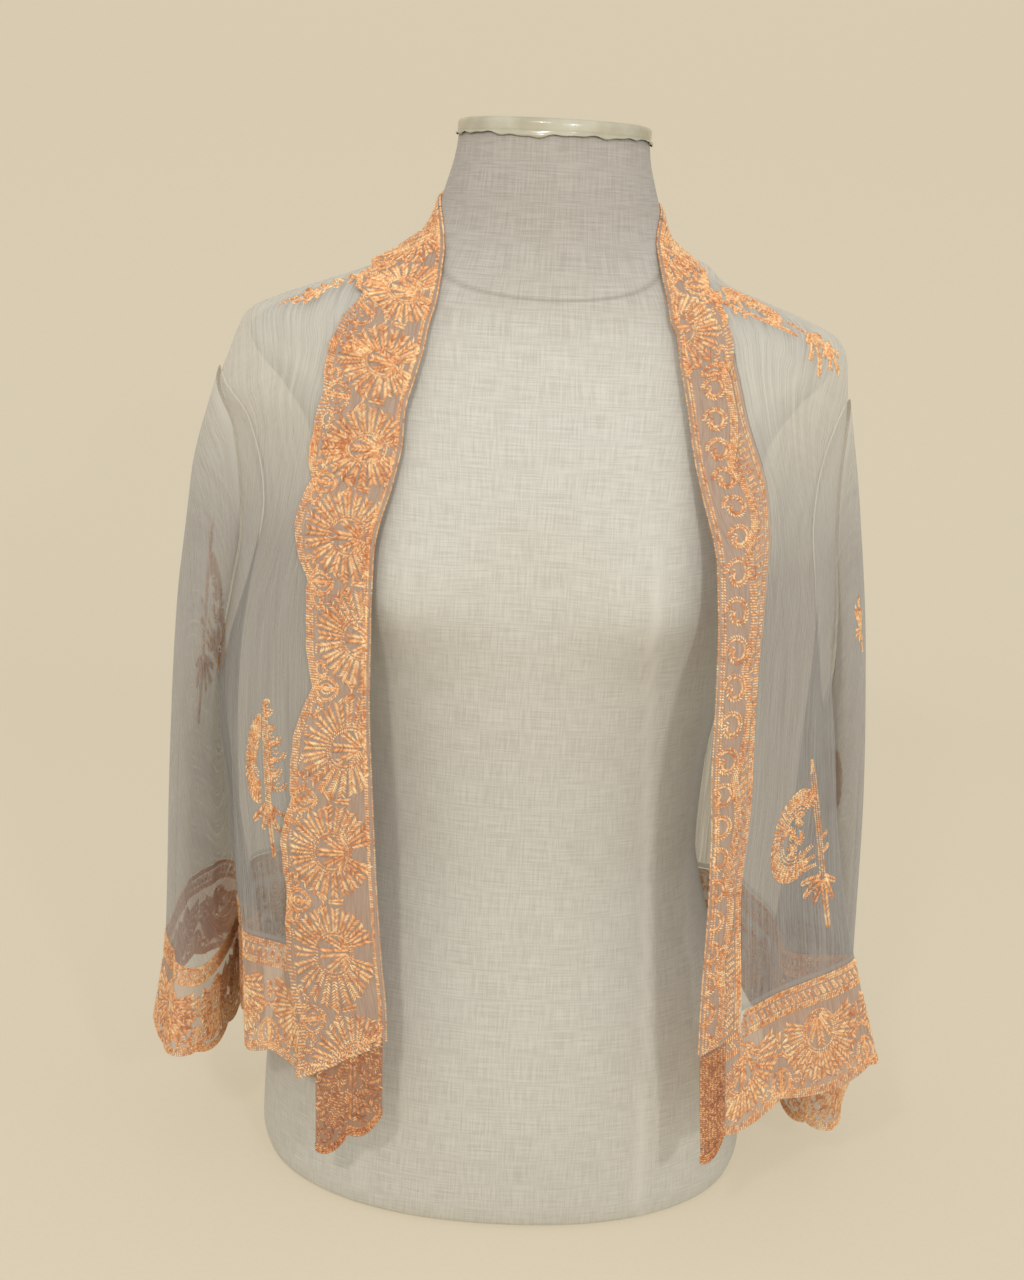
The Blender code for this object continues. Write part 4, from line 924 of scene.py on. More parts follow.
def resampled(path, pitch):
    """Places and directions at even steps along a path, and how far along it each one is."""
    steps = np.linalg.norm(np.diff(path, axis=0), axis=1)
    path = path[np.concatenate([[True], steps > 1e-9])]
    length = run_lengths(path)
    count = max(int(round(length[-1] / pitch)), 2)
    share = (np.arange(count) + 0.5) / count
    around = [np.clip(share * length[-1] + shift, 0, length[-1]) for shift in (0.0, pitch / 2, -pitch / 2)]
    here, after, before = (
        np.stack([np.interp(when, length, path[:, axis]) for axis in (0, 1)], -1) for when in around
    )
    return here, unit(after - before + 1e-12), share


def stitches_along(rows):
    """Every stitch of some rows: its place, its row's direction, its half-length and its slant."""
    spots, directions, shapes = [], [], []
    for path, start_half, end_half, doubled in rows:
        here, ahead, share = resampled(path, ROPE_PITCH if doubled else CHAIN_PITCH)
        half = lerp(start_half, end_half, share)
        if not doubled:
            spots.append(here)
            directions.append(ahead)
            shapes.append(np.stack([half, np.full(len(half), CHAIN_SLANT)], -1))
            continue
        side = np.stack([-ahead[:, 1], ahead[:, 0]], -1)
        for hand in (-1, 1):
            spots.append(here + side * (hand * ROPE_SIDE * half)[:, None])
            directions.append(ahead)
            shapes.append(np.stack([ROPE_REACH * half, np.full(len(half), hand * ROPE_SLANT)], -1))
    return np.concatenate(spots), np.concatenate(directions), np.concatenate(shapes)


# Corners and faces of one stitch: a flat lens with eight faces
LENS_FACES = np.array(
    [(0, 2, 4), (2, 1, 4), (1, 3, 4), (3, 0, 4), (2, 0, 5), (1, 2, 5), (3, 1, 5), (0, 3, 5)], np.int32
)
AHEAD = 0.0006


def stitch_object(name, found, seed, material="thread"):
    """Every stitch of a piece as one mesh, each with its own tone."""
    points, ahead, normals, shapes = (np.concatenate(group) for group in zip(*found))
    moved = np.linalg.norm(ahead - points, axis=1) > 1e-7
    points, ahead, normals, shapes = points[moved], ahead[moved], normals[moved], shapes[moved]
    direction = ahead - points
    direction = unit(direction - dot(direction, normals)[:, None] * normals)
    side = np.cross(normals, direction)
    random = np.random.default_rng(seed)
    slant = (shapes[:, 1] + random.normal(0, SLANT_SPREAD, len(points)))[:, None]
    long = direction * np.cos(slant) + side * np.sin(slant)
    short = np.cross(normals, long)
    grown = random.uniform(SIZE_LEAST, SIZE_MOST, len(points))[:, None]
    half = np.maximum(shapes[:, :1] / np.abs(np.sin(slant)), STITCH_HALF_WIDTH) * grown
    ends = (long * half, short * STITCH_HALF_WIDTH * grown, normals * STITCH_HEIGHT * grown)
    corners = np.stack([points + sign * end for end in ends for sign in (1, -1)], 1)
    faces = (LENS_FACES[None] + 6 * np.arange(len(points))[:, None, None]).reshape(-1, 3)
    tone = np.repeat(random.uniform(0, 1, len(points)), 6)
    made = make_object(name, corners.reshape(-1, 3), faces, values={"tone": tone})
    made.data.materials.append(MATERIALS[material])
    return made


def lay(cloth, cell, stitches):
    """Points, points a little ahead, normals and shapes of stitches, from their border places."""
    spots, directions, shapes = stitches
    row, column, kept = cell(spots)
    row_ahead, column_ahead, _ = cell(spots + directions * AHEAD)
    points, normals = cloth.at(row[kept], column[kept])
    ahead, _ = cloth.at(row_ahead[kept], column_ahead[kept])
    return points, ahead, normals, shapes[kept]


def repeated(stitches, first, last, scale=1.0):
    """Stitches of one repeat set along a border: x becomes a count of scallops, d is scaled."""
    spots, directions, shapes = stitches
    copies = range(math.floor(first), math.ceil(last))
    phase = spots[:, 0] / REPEAT + 0.5
    all_spots = [np.stack([phase + copy, spots[:, 1] * scale], -1) for copy in copies]
    along = directions * np.array([1 / REPEAT, scale])
    return np.concatenate(all_spots), np.tile(along, (len(copies), 1)), np.tile(shapes, (len(copies), 1))


# Fronts, neck: the folded strips
STRIP_SCALE = 0.82
STRIP_WAVE, STRIP_WAVE_TURNS = 0.0009, (260, 97)
# The right strip's foot stands up in a rolled, crumpled crease above its free end
FOOT_ROLL, FOOT_ROLL_LENGTH, CRUMPLE, CRUMPLE_TURNS = 0.0060, 0.009, 0.4, (260, 610)
# The turn in degrees of the layer that shows
SHOWN_TURN = 180.0
# How near a strip's ends and how deep under its fold stitches may lie
STRIP_END_MARGIN, SEWN_DEEPEST, FOLDED_DEEPEST = 0.0005, 0.97, 0.15


def shown_rise(side, rows, width, end):
    """How far the layer that shows stands off: its raised, wavy edge and the crease across the right foot."""
    share = width / FOOT_WIDTH
    slow, quick = STRIP_WAVE_TURNS
    wave = STRIP_WAVE * np.sin(rows * slow + side.sign) * np.sin(rows * quick)
    rise = EDGE_RISE * share**2 + wave * np.clip(share, 0, 1)
    if not end or side is not RIGHT:
        return rise
    slow, quick = CRUMPLE_TURNS
    crumple = (1 - CRUMPLE) + CRUMPLE * np.sin(width * slow) * np.sin(width * quick + 1.0)
    return rise + FOOT_ROLL * crumple * ease((rows - side.foot + FOOT_ROLL_LENGTH) / FOOT_ROLL_LENGTH)


def strip_cloth(side, rows, end):
    """The folded strip as a fine grid: columns run from the sewn edge in to the fold and out again."""
    radius = FOLD_LIFT / 2
    blend = ease((rows - (side.foot - FOOT_RUN)) / FOOT_RUN) if end else 0.0
    points, normals = [], []

    def add_column(width, turned):
        along = rows + blend * (side.foot_at(width) - side.foot)
        place = side.edge.offset(along, width)
        normal = cloth_normal(*place)
        lean = math.radians(turned)
        facing = -normal * math.cos(lean) - side.edge.out_at(along) * math.sin(lean)
        rise = shown_rise(side, rows, width, end) if turned == SHOWN_TURN else 0 * width
        points.append(cloth_point(*place) + normal * (radius + rise)[:, None] + facing * radius)
        normals.append(facing)

    for share in UNDER_FINE:
        add_column(side.under_width(rows) * share, 0.0)
    for turned in BEND_FINE:
        add_column(0.0 * rows, turned)
    for share in SHOWN_FINE:
        add_column(side.shown_width(rows) * share, SHOWN_TURN)
    return Cloth(np.stack(points, 1), np.stack(normals, 1))


def strip_cells(side, rows, start):
    """Finds the cell of a place given as a count of scallops and a depth from the edge, fold or seam."""
    shown_first = len(UNDER_FINE) + len(BEND_FINE)
    deepest = SEWN_DEEPEST if start == "seam" else FOLDED_DEEPEST

    def cell(found):
        along = np.interp(found[:, 0], np.arange(len(side.cusps)), side.cusps)
        row = np.interp(along, rows, np.arange(len(rows)))
        peak = smooth(*zip(*side.shown), along)
        under = side.under_width(along)
        width = {"edge": peak - found[:, 1], "fold": found[:, 1], "seam": found[:, 1] - under}[start]
        shown_share = np.clip(width, 0, None) / side.shown_width(along)
        under_share = np.clip(-width, 0, None) / under
        on_top = np.interp(shown_share, SHOWN_FINE, shown_first + np.arange(len(SHOWN_FINE)))
        below = np.interp(-under_share, -UNDER_FINE, np.arange(len(UNDER_FINE)))
        if start == "fold":
            on_bend = shown_first + found[:, 1] / BEND_LENGTH * (len(BEND_FINE) + 1)
            below = np.where(width > -BEND_LENGTH, on_bend, below)
        kept = (along > rows[0] + STRIP_END_MARGIN) & (along < rows[-1] - STRIP_END_MARGIN)
        return row, np.where(width > 0, on_top, below), kept & (under_share < deepest)

    return cell


def strip_rows(first, last):
    return np.linspace(first, last, int((last - first) / ROW_STEP) + 1)


def strip_stitches(side, cloth, rows):
    """The embroidery of a folded strip."""
    first, last = float(side.phase(rows[0])), float(side.phase(rows[-1]))
    from_edge = strip_cells(side, rows, "edge")
    turn_at = last if side is RIGHT else math.floor(side.phase(side.shoulder + CURLS_FROM))
    found = [lay(cloth, from_edge, repeated(EDGE, first, last, STRIP_SCALE))]
    found.append(lay(cloth, from_edge, repeated(STRIP_FILL, first, min(last, turn_at), STRIP_SCALE)))
    if turn_at < last:
        found.append(lay(cloth, from_edge, repeated(CURLS, turn_at, last)))
    for start, stitches in (("fold", FOLD), ("seam", SEWN)):
        found.append(lay(cloth, strip_cells(side, rows, start), repeated(stitches, first, last)))
    return found


def foot_cell(found, foot_row):
    """Finds the cell of a place on the strip's foot, from how far across it is and how far up."""
    shown_first, last = len(UNDER_FINE) + len(BEND_FINE), len(SHOWN_FINE) - 1
    column = shown_first + np.clip(found[:, 0] / FOOT_ACROSS, 0, 1) * last
    return foot_row - found[:, 1] / ROW_STEP, column, found[:, 0] > 0


def front_border(side, name, seed):
    """A front's folded strip with its embroidery."""
    rows = strip_rows(side.shoulder + SEAM_GAP, side.foot)
    cloth = strip_cloth(side, rows, True)
    made = shell(name, cloth, MATERIALS["border_ground"])
    found = strip_stitches(side, cloth, rows)
    if side is RIGHT:
        found.append(lay(cloth, lambda place: foot_cell(place, len(rows) - 1), FOOT))
    return made, stitch_object(name + "_stitches", found, seed)


def neck_border():
    """The same strip round the back of the neck, made as two halves and joined at the nape."""
    halves, found = [], []
    for side in (RIGHT, LEFT):
        rows = strip_rows(0.0, side.shoulder - SEAM_GAP)
        halves.append(strip_cloth(side, rows, False))
        found += strip_stitches(side, halves[-1], rows)
    right, left = halves
    points = np.concatenate([right.points[::-1], left.points[1:]])
    normals = np.concatenate([right.normals[::-1], left.normals[1:]])
    made = shell("back_neck_border_cloth", Cloth(points, normals), MATERIALS["border_ground"])
    return made, stitch_object("back_neck_border_stitches", found, 13)


def scallops_along(line, scallops):
    """The count of scallops at each point of a line, and how much shorter the border is at each."""
    arc = run_lengths(line)
    phase = arc / arc[-1] * scallops
    return phase, HEM_SCALLOP * (1 - lobe(phase))


def hem_cloth(tops, feet, scallops):
    """A hem border as a fine grid, its rows running down, and the count of scallops at each column."""
    phase, short = scallops_along(cloth_point(*feet), scallops)
    rows = []
    for part in np.linspace(0, 1, HEM_ROWS_FINE):
        angle = lerp(tops[0], feet[0], part)
        rows.append(places(angle, lerp(tops[1], feet[1] - short, part)))
    return Cloth(*lifted(np.stack(rows, 1), 0.0)), phase, short


def border_cells(phase, short, from_edge, depth=HEM_DEPTH, levels=HEM_ROWS_FINE, margin=0.01):
    """Finds the cell of a place given as a count of scallops and a depth. The margin is in scallops."""

    def cell(found):
        column = np.interp(found[:, 0], phase, np.arange(len(phase)))
        indent = np.interp(found[:, 0], phase, short)
        down = depth - found[:, 1] if from_edge else found[:, 1]
        share = down / (depth - indent)
        inside = (found[:, 0] > phase[0] + margin) & (found[:, 0] < phase[-1] - margin)
        kept = inside & (share > 0) & (share < 1)
        return share * (levels - 1), column, kept

    return cell


def border_stitches(cloth, phase, short, scallops, *sizes):
    """The embroidery of a hem border or a cuff."""
    from_edge, from_seam = (border_cells(phase, short, way, *sizes) for way in (True, False))
    found = [lay(cloth, from_edge, repeated(stitches, 0, scallops)) for stitches in (EDGE, FILL)]
    return found + [lay(cloth, from_seam, repeated(SEWN, 0, scallops))]


def hem_border(name, tops, feet, scallops, seed):
    cloth, phase, short = hem_cloth(tops, feet, scallops)
    made = shell(name, cloth, MATERIALS["border_ground"])
    return made, stitch_object(name + "_stitches", border_stitches(cloth, phase, short, scallops), seed)


def front_hem(side, name, seed):
    """A front's hem border: its columns start at the strip, or at the fold line on the left."""
    under = float(side.under_width(side.foot))
    if side.hem_from_fold:
        width = foot_width = np.linspace(0.0, under, 12)
        tops = side.edge.offset(side.foot_at(width) + SEAM_GAP, width)
    else:
        foot_width = np.array([under + SEAM_GAP])
        tops = side.seam(np.array([side.hem_along + SEAM_GAP]), SEAM_GAP)
    feet = side.edge.offset(side.hem_along + HEM_DEPTH + 0 * foot_width, foot_width)
    side_line = side.side_angle + side.sign * SIDE_GAP_DEGREES
    share = np.linspace(0, 1, 61)[1:]
    top_angle, foot_angle = lerp(tops[0][-1], side_line, share), lerp(feet[0][-1], side_line, share)
    tops = places(np.append(tops[0], top_angle), np.append(tops[1], hem_line(top_angle) + SEAM_GAP))
    feet = places(np.append(feet[0], foot_angle), np.append(feet[1], hem_line(foot_angle) + HEM_DEPTH))
    return hem_border(name, tops, feet, side.hem_scallops, seed)


def back_hem(name, seed):
    angle = np.linspace(RIGHT_SIDE - SIDE_GAP_DEGREES, LEFT_SIDE + SIDE_GAP_DEGREES, 221)
    tops = places(angle, hem_line(angle) + SEAM_GAP)
    feet = places(angle, hem_line(angle) + HEM_DEPTH)
    return hem_border(name, tops, feet, BACK_SCALLOPS, seed)


# Stitches on a free end keep this share of its length and this much of a cell from its edges
END_MARGIN, HALF_CELL = 0.02, 0.5


def strip_end(side, name, lift, widths, top, foot, scallops, fan_at, seed):
    """The strip's free end: its edge rows follow its foot, and the pattern above them has its real size."""
    width = np.linspace(*widths, END_COLUMNS)
    across = np.linspace(0, 1, END_COLUMNS)
    short = HEM_SCALLOP * (1 - lobe(across * scallops))
    along_foot = lerp(foot[0], foot[1], across) - short
    along_top = side.foot_at(width) + top
    share = np.linspace(0, 1, HEM_ROWS_FINE)[:, None]
    along = lerp(along_top[None], along_foot[None], share)
    cloth = Cloth(*lifted(side.edge.offset(along, np.broadcast_to(width, along.shape)), lift))
    made = shell(name, cloth, MATERIALS["end_ground"])
    length, at = along_foot - along_top, np.arange(END_COLUMNS)
    last_row, last_column = HEM_ROWS_FINE - 1, END_COLUMNS - 1

    def edge_cell(found):
        column = np.clip(found[:, 0], 0, scallops) / scallops * last_column
        down = np.interp(column, at, length + short) - found[:, 1]
        share = down / np.interp(column, at, length)
        return share * last_row, column, (share > 0) & (share < 1)

    def fill_cell(found):
        column = (fan_at + found[:, 0]) / (widths[1] - widths[0]) * last_column
        share = 1 - found[:, 1] / np.interp(column, at, length)
        kept = (share > END_MARGIN) & (share < 1 - END_MARGIN)
        kept = kept & (column > HALF_CELL) & (column < last_column - HALF_CELL)
        return share * last_row, column, kept

    found = [lay(cloth, edge_cell, repeated(EDGE, 0, scallops))]
    found.append(lay(cloth, fill_cell, FLAP if scallops == 1 else FILL))
    return made, stitch_object(name + "_stitches", found, seed, "thread_reverse")


# Long soft creases in the panels: where, how wide in degrees, how far out, from which reach
# to which, and how far they lean in degrees
PANEL_CREASES = (
    (222.0, 2.6, 0.0022, 0.24, 0.60, 3.0),
    (228.0, 1.8, -0.0016, 0.30, 0.58, -2.0),
    (209.0, 2.4, 0.0018, 0.28, 0.60, 2.0),
    (215.0, 1.6, -0.0014, 0.36, 0.60, 0.0),
    (196.0, 2.6, 0.0020, 0.34, 0.62, 0.0),
    (236.0, 1.8, 0.0010, 0.12, 0.34, 5.0),
    (316.0, 2.0, 0.0016, 0.16, 0.60, -4.0),
    (323.0, 1.5, -0.0012, 0.22, 0.58, 2.0),
    (330.0, 2.2, 0.0018, 0.26, 0.60, -2.0),
    (338.0, 1.8, 0.0014, 0.30, 0.60, 2.0),
    (345.0, 2.2, -0.0014, 0.34, 0.60, 0.0),
    (312.0, 1.4, 0.0010, 0.10, 0.30, -3.0),
    (18.0, 2.4, 0.0018, 0.16, 0.58, -2.0),
    (40.0, 2.0, -0.0014, 0.20, 0.60, 3.0),
    (58.0, 2.8, 0.0022, 0.14, 0.60, -3.0),
    (66.0, 1.8, 0.0012, 0.30, 0.60, 1.0),
    (78.0, 2.2, -0.0016, 0.24, 0.58, 0.0),
    (97.0, 2.4, 0.0018, 0.18, 0.60, 2.0),
    (112.0, 1.8, -0.0012, 0.26, 0.60, -2.0),
    (131.0, 2.6, 0.0020, 0.16, 0.60, 3.0),
    (147.0, 1.8, 0.0012, 0.30, 0.58, 0.0),
    (166.0, 2.4, -0.0016, 0.22, 0.60, -2.0),
)
# The small peak of cloth that stands up beside the border on the left shoulder
PEAK_ANGLE, PEAK_SPREAD, PEAK_REACH, PEAK_LENGTH, PEAK_RISE = 8.0, 9.0, 0.060, 0.014, 0.009
# Over these lengths a crease grows at its start and fades at its end
CREASE_START, CREASE_END = 0.09, 0.07


def crease(angle, reach):
    """How far the panels' creases stand out at a place."""
    total = np.zeros(np.broadcast(angle, reach).shape)
    for at, spread, rise, start, end, lean in PANEL_CREASES:
        centre = at + lean * (reach - start) / (end - start)
        window = ease((reach - start) / CREASE_START) * ease((end - reach) / CREASE_END)
        total = total + rise * window * np.exp(-((turn(angle, centre) / spread) ** 2))
    side = np.exp(-((turn(angle, PEAK_ANGLE) / PEAK_SPREAD) ** 2))
    return total + PEAK_RISE * side * np.exp(-(((reach - PEAK_REACH) / PEAK_LENGTH) ** 2))


# Over which shares of a panel its creases fade in at its inner, outer, upper and lower edges
CREASE_FADES = (0.07, 0.05, 0.05, 0.07)
# Where the seam allowances start on a panel, and over what share they grow: at its side and at its foot
SIDE_ALLOWANCE, FOOT_ALLOWANCE = (0.965, 0.01), (0.985, 0.008)
# The same on a sleeve: below its head, above its cuff, and over what share both fade
HEAD_ALLOWANCE, CUFF_ALLOWANCE, ALLOWANCE_FADE = 0.022, 0.012, 0.004


def inside_weight(u, v):
    """1 inside a panel, falling to 0 at its four edges."""
    inner, outer, upper, lower = CREASE_FADES
    return ease(u / inner) * ease((1 - u) / outer) * ease(v / upper) * ease((1 - v) / lower)


def seam_density(u, v):
    """1 on the narrow seam allowances beside a panel's outer and lower edges."""
    at_side = ease((u - SIDE_ALLOWANCE[0]) / SIDE_ALLOWANCE[1])
    return np.maximum(at_side, ease((v - FOOT_ALLOWANCE[0]) / FOOT_ALLOWANCE[1]))


def front_panel(side, name):
    u, v = np.meshgrid(np.linspace(0, 1, 64), np.linspace(0, 1, 160))
    place = front_places(side, u, v)
    cloth = Cloth(*lifted(place, crease(*place) * inside_weight(u, v)))
    return shell(name, cloth, MATERIALS["chiffon_down"], seam_density(u, v))


def back_panel(name):
    """Both halves of the back in one grid, side by side."""
    v = np.concatenate([np.linspace(0, NECK_SHARE, 34), np.linspace(NECK_SHARE, 1, 120)[1:]])
    u, v = np.meshgrid(np.linspace(0, 1, 60), v)
    halves = []
    for side in (RIGHT, LEFT):
        place = back_places(side, u, v)
        halves.append(lifted(place, crease(*place) * inside_weight(np.maximum(u, 0.07), v))[0])
    ids = np.arange(2 * u.size).reshape(2, *u.shape)
    shared = v[:, 0] >= NECK_SHARE - 1e-9
    ids[1, shared, 0] = ids[0, shared, 0]
    quads, uv = [], []
    for half, (points, grid) in enumerate(zip(halves, ids)):
        order = DOWN_FIRST if half else ACROSS_FIRST
        grain = np.stack([arc_lengths(points, 1) * (1 - 2 * half), arc_lengths(points, 0)], -1)
        quads.append(cell_corners(grid, order))
        uv.append(cell_corners(grain, order))
    kept, renumbered = np.unique(np.concatenate(quads), return_inverse=True)
    points = np.concatenate(halves).reshape(-1, 3)[kept]
    dense = np.tile(seam_density(u, v).ravel(), 2)[kept]
    made = make_object(name, points, renumbered.reshape(-1, 4), np.concatenate(uv), {"dense": dense})
    made.data.materials.append(MATERIALS["chiffon_down"])
    return made


# Long soft folds down the sleeves: turn and spread in degrees, how far out, and from which level down
SLEEVE_FOLDS = (
    (35.0, 10.0, 0.0030, 0.10),
    (62.0, 9.0, -0.0026, 0.16),
    (95.0, 11.0, 0.0034, 0.08),
    (128.0, 9.0, -0.0022, 0.30),
    (205.0, 10.0, 0.0026, 0.20),
    (238.0, 9.0, -0.0024, 0.12),
    (272.0, 12.0, 0.0034, 0.10),
    (310.0, 9.0, -0.0026, 0.22),
    (338.0, 8.0, 0.0022, 0.30),
)

# Rings from this one down are held clear of the body, and this ring tells where a sleeve's normals point
HELD_RING, FACING_RING = 8, 40
# Length over which the folds grow, and how far they reach round from the sleeve's outer side
FOLD_GROWTH, FOLD_ROUND = 0.35, 0.35


def fine_turns():
    """Turns round a sleeve, evenly spread over its length round."""
    fine = np.linspace(0, 2 * math.pi, 1441)
    speed = np.hypot(TIP_ROUNDNESS * np.sin(fine), SLEEVE_HALF_DEPTH * np.cos(fine))
    arc = np.concatenate([[0.0], np.cumsum((speed[1:] + speed[:-1]) / 2)])
    return np.interp(np.linspace(0, arc[-1], TUBE_SPLITS + 1)[:-1], arc, fine)


def whole_sleeve(side, rings, body):
    """The sleeve and its cuff in one fine tube, with long soft folds."""
    turns = fine_turns()
    below_seam = np.linspace(CUFF_SEAM, 1, CUFF_LEVELS)[1:]
    levels = np.concatenate([np.linspace(0, CUFF_SEAM, SLEEVE_LEVELS), below_seam])
    points = np.stack([sleeve_ring(side, rings, t, turns) for t in levels])
    points[HELD_RING:] = hold_off(points[HELD_RING:], body)
    normals = tube_normals(points)
    outwards = points[FACING_RING] - points[FACING_RING].mean(0)
    normals = normals * np.sign(dot(normals[FACING_RING], outwards).mean())
    push = np.zeros(points.shape[:2])
    for at, spread, rise, start in SLEEVE_FOLDS:
        away = turn(np.degrees(turns) * side.sign, at)
        grown = ease((levels - start) / FOLD_GROWTH)
        push = push + rise * grown[:, None] * np.exp(-((away / spread) ** 2))[None]
    outer = np.clip(normals[..., 0] * -side.sign + FOLD_ROUND, 0, 1)
    return points + normals * (push * outer)[..., None], normals, levels


def cut_cuff(points, normals):
    """The cuff from its seam down, its foot cut into scallops, with what its stitches are counted by."""
    points = points.copy()
    points[0] = points[0] + unit(points[1] - points[0]) * SEAM_GAP
    phase, short = scallops_along(np.concatenate([points[-1], points[-1][:1]]), CUFF_SCALLOPS)
    drop = points[-1] - points[0]
    share = np.linspace(0, 1, CUFF_LEVELS)[:, None, None]
    points = points - drop[None] * share * (short[:-1] / CUFF_DEPTH)[None, :, None]
    return Cloth(points, normals, wrap=True), phase, short


def sleeve_and_cuff(side, rings, body, names, seed):
    """A sleeve, its cuff, the cuff's stitches, and the sleeve's cloth for its motifs."""
    points, normals, levels = whole_sleeve(side, rings, body)
    seam = SLEEVE_LEVELS - 1
    cloth = Cloth(points[: seam + 1], normals[: seam + 1], wrap=True)
    level = np.repeat(levels[: seam + 1][:, None], cloth.points.shape[1], 1)
    at_head = 1 - ease((level - HEAD_ALLOWANCE) / ALLOWANCE_FADE)
    dense = np.maximum(at_head, ease((level - CUFF_SEAM + CUFF_ALLOWANCE) / ALLOWANCE_FADE))
    sleeve = shell(names[0], cloth, MATERIALS["chiffon_across"], dense)
    cuff_cloth, phase, short = cut_cuff(points[seam:], normals[seam:])
    cuff = shell(names[1], cuff_cloth, MATERIALS["cuff_ground"])
    found = border_stitches(cuff_cloth, phase, short, CUFF_SCALLOPS, CUFF_DEPTH, CUFF_LEVELS, NO_MARGIN)
    return sleeve, cuff, stitch_object(names[1] + "_stitches", found, seed), cloth


# The scattered motif: a leaf-shaped crescent of thick petals with curls inside, a stem and leaves
MOTIF_HALF_WIDTH, MOTIF_HALF_HEIGHT, MOTIF_LEAN, MOTIF_PETALS = 0.0190, 0.0290, 0.20, 30
MOTIF_INNER, MOTIF_PETAL_HALF = 0.66, (0.0012, 0.00185)
MOTIF_RINGS = (0.60, 0.52)
MOTIF_BLOBS = (
    (0.0035, -0.0105, 0.0036, 30.0),
    (-0.0055, -0.0020, 0.0034, 150.0),
    (0.0035, 0.0015, 0.0034, 260.0),
    (-0.0035, 0.0095, 0.0034, 200.0),
)
MOTIF_STEM = ((0.0125, -0.040), (0.0150, -0.026), (0.0180, -0.008), (0.0205, 0.010), (0.0220, 0.030))
STEM_ROWS, STEM_GAP = 3, 0.0017
MOTIF_LEAVES = (
    ((0.0205, 0.030), (0.0060, 0.0325), 0.0028),
    ((0.0205, 0.031), (0.0085, 0.0420), 0.0030),
    ((0.0215, 0.032), (0.0160, 0.0470), 0.0026),
    ((0.0225, 0.032), (0.0255, 0.0640), 0.0026),
    ((0.0230, 0.031), (0.0310, 0.0460), 0.0028),
    ((0.0230, 0.030), (0.0350, 0.0350), 0.0026),
)
MOTIF_SHOOTS = (
    (0.0150, 0.008, -0.0070, 0.0050),
    (0.0165, 0.015, -0.0085, 0.0045),
    (0.0175, 0.021, -0.0090, 0.0030),
    (0.0215, 0.004, 0.0060, -0.0040),
    (0.0220, 0.013, 0.0070, -0.0035),
)
MOTIF_SPIKE = ((0.0125, -0.040), (0.0112, -0.0485))
# The half-hidden motif: its width as a share of the whole one's, and its blocks of curls beyond the stem
NARROW_WIDTH, NARROW_RINGS, NARROW_SHIFT = np.array([0.70, 1.0]), (0.42, 0.33), (0.0175, 0.0)
NARROW_BLOBS = (
    (0.0085, -0.034, 0.0042, 0.0),
    (0.0125, -0.017, 0.0050, 0.4),
    (0.0150, -0.007, 0.0056, 0.4),
    (0.0125, 0.004, 0.0046, 0.4),
    (0.0145, 0.013, 0.0050, 0.4),
)
SPRIG_TIPS = ((0.006, -0.030), (-0.006, -0.022), (0.012, -0.016), (-0.010, -0.008), (0.008, -0.003))
BRANCH_PAIRS = (0.024, 0.014, 0.004, -0.006, -0.016)


def motif_outline(t):
    """The crescent's outer line: an oval whose top leans over, t from 0 at the top right round to 1."""
    turn_by = np.radians(55.0 + 262.0 * np.asarray(t))
    x = MOTIF_HALF_WIDTH * np.cos(turn_by)
    y = -MOTIF_HALF_HEIGHT * np.sin(turn_by)
    return np.stack([x - MOTIF_LEAN * y, y], -1)


def blob_rows(x, y, radius, start):
    """A small curl of thick stitches round its own middle."""
    turn_by = np.radians(start + np.linspace(0, 300, 24))
    middle = chain(curve(x + radius * 0.30 * np.cos(turn_by), y + radius * 0.30 * np.sin(turn_by)))
    return [rope(curve(x + radius * np.cos(turn_by), y + radius * np.sin(turn_by)), 0.0014, 0.0019), middle]


def motif_rows():
    """All the rows of the scattered motif, in metres, with y running down."""
    ring = motif_outline(np.linspace(0, 1, 60))
    rows = [chain(ring * share) for share in MOTIF_RINGS]
    for t in np.linspace(0, 1, MOTIF_PETALS):
        spot = motif_outline(t)
        rows.append(rope(np.linspace(spot * MOTIF_INNER, spot * 1.04, 8), *MOTIF_PETAL_HALF))
    for place in MOTIF_BLOBS:
        rows += blob_rows(*place)
    stem = np.array(MOTIF_STEM)
    for row in range(STEM_ROWS):
        rows.append(chain(stem + np.array([(row - 1) * STEM_GAP, 0.0])))
    for base, tip, half in MOTIF_LEAVES:
        rows.append(rope(np.linspace(base, tip, 8), half, half * 0.7))
    for x, y, dx, dy in MOTIF_SHOOTS:
        rows.append(rope(np.linspace((x, y), (x + dx, y + dy), 6), 0.0011, 0.0019))
    rows.append(rope(np.linspace(*MOTIF_SPIKE, 5), 0.0017, 0.0009))
    return rows


def narrow_rows():
    """A half-hidden motif: a narrow crescent, a stem with a round head and short blocks beyond it."""
    ring = motif_outline(np.linspace(0.22, 0.80, 40)) * NARROW_WIDTH
    rows = [chain(ring * share) for share in NARROW_RINGS]
    for t in np.linspace(0.20, 0.82, 17):
        spot = motif_outline(t) * NARROW_WIDTH
        rows.append(rope(np.linspace(spot * 0.50, spot * 1.04, 8), 0.0014, 0.0022))
    for row in range(STEM_ROWS + 1):
        rows.append(chain(curve([0.004 + row * STEM_GAP, 0.003 + row * STEM_GAP], [-0.032, 0.038])))
    for place in NARROW_BLOBS:
        rows += blob_rows(*place)
    for base, tip, half in MOTIF_LEAVES[1:]:
        ends = np.array(base) - NARROW_SHIFT, np.array(tip) - NARROW_SHIFT
        rows.append(rope(np.linspace(*ends, 8), half, half * 0.7))
    return rows


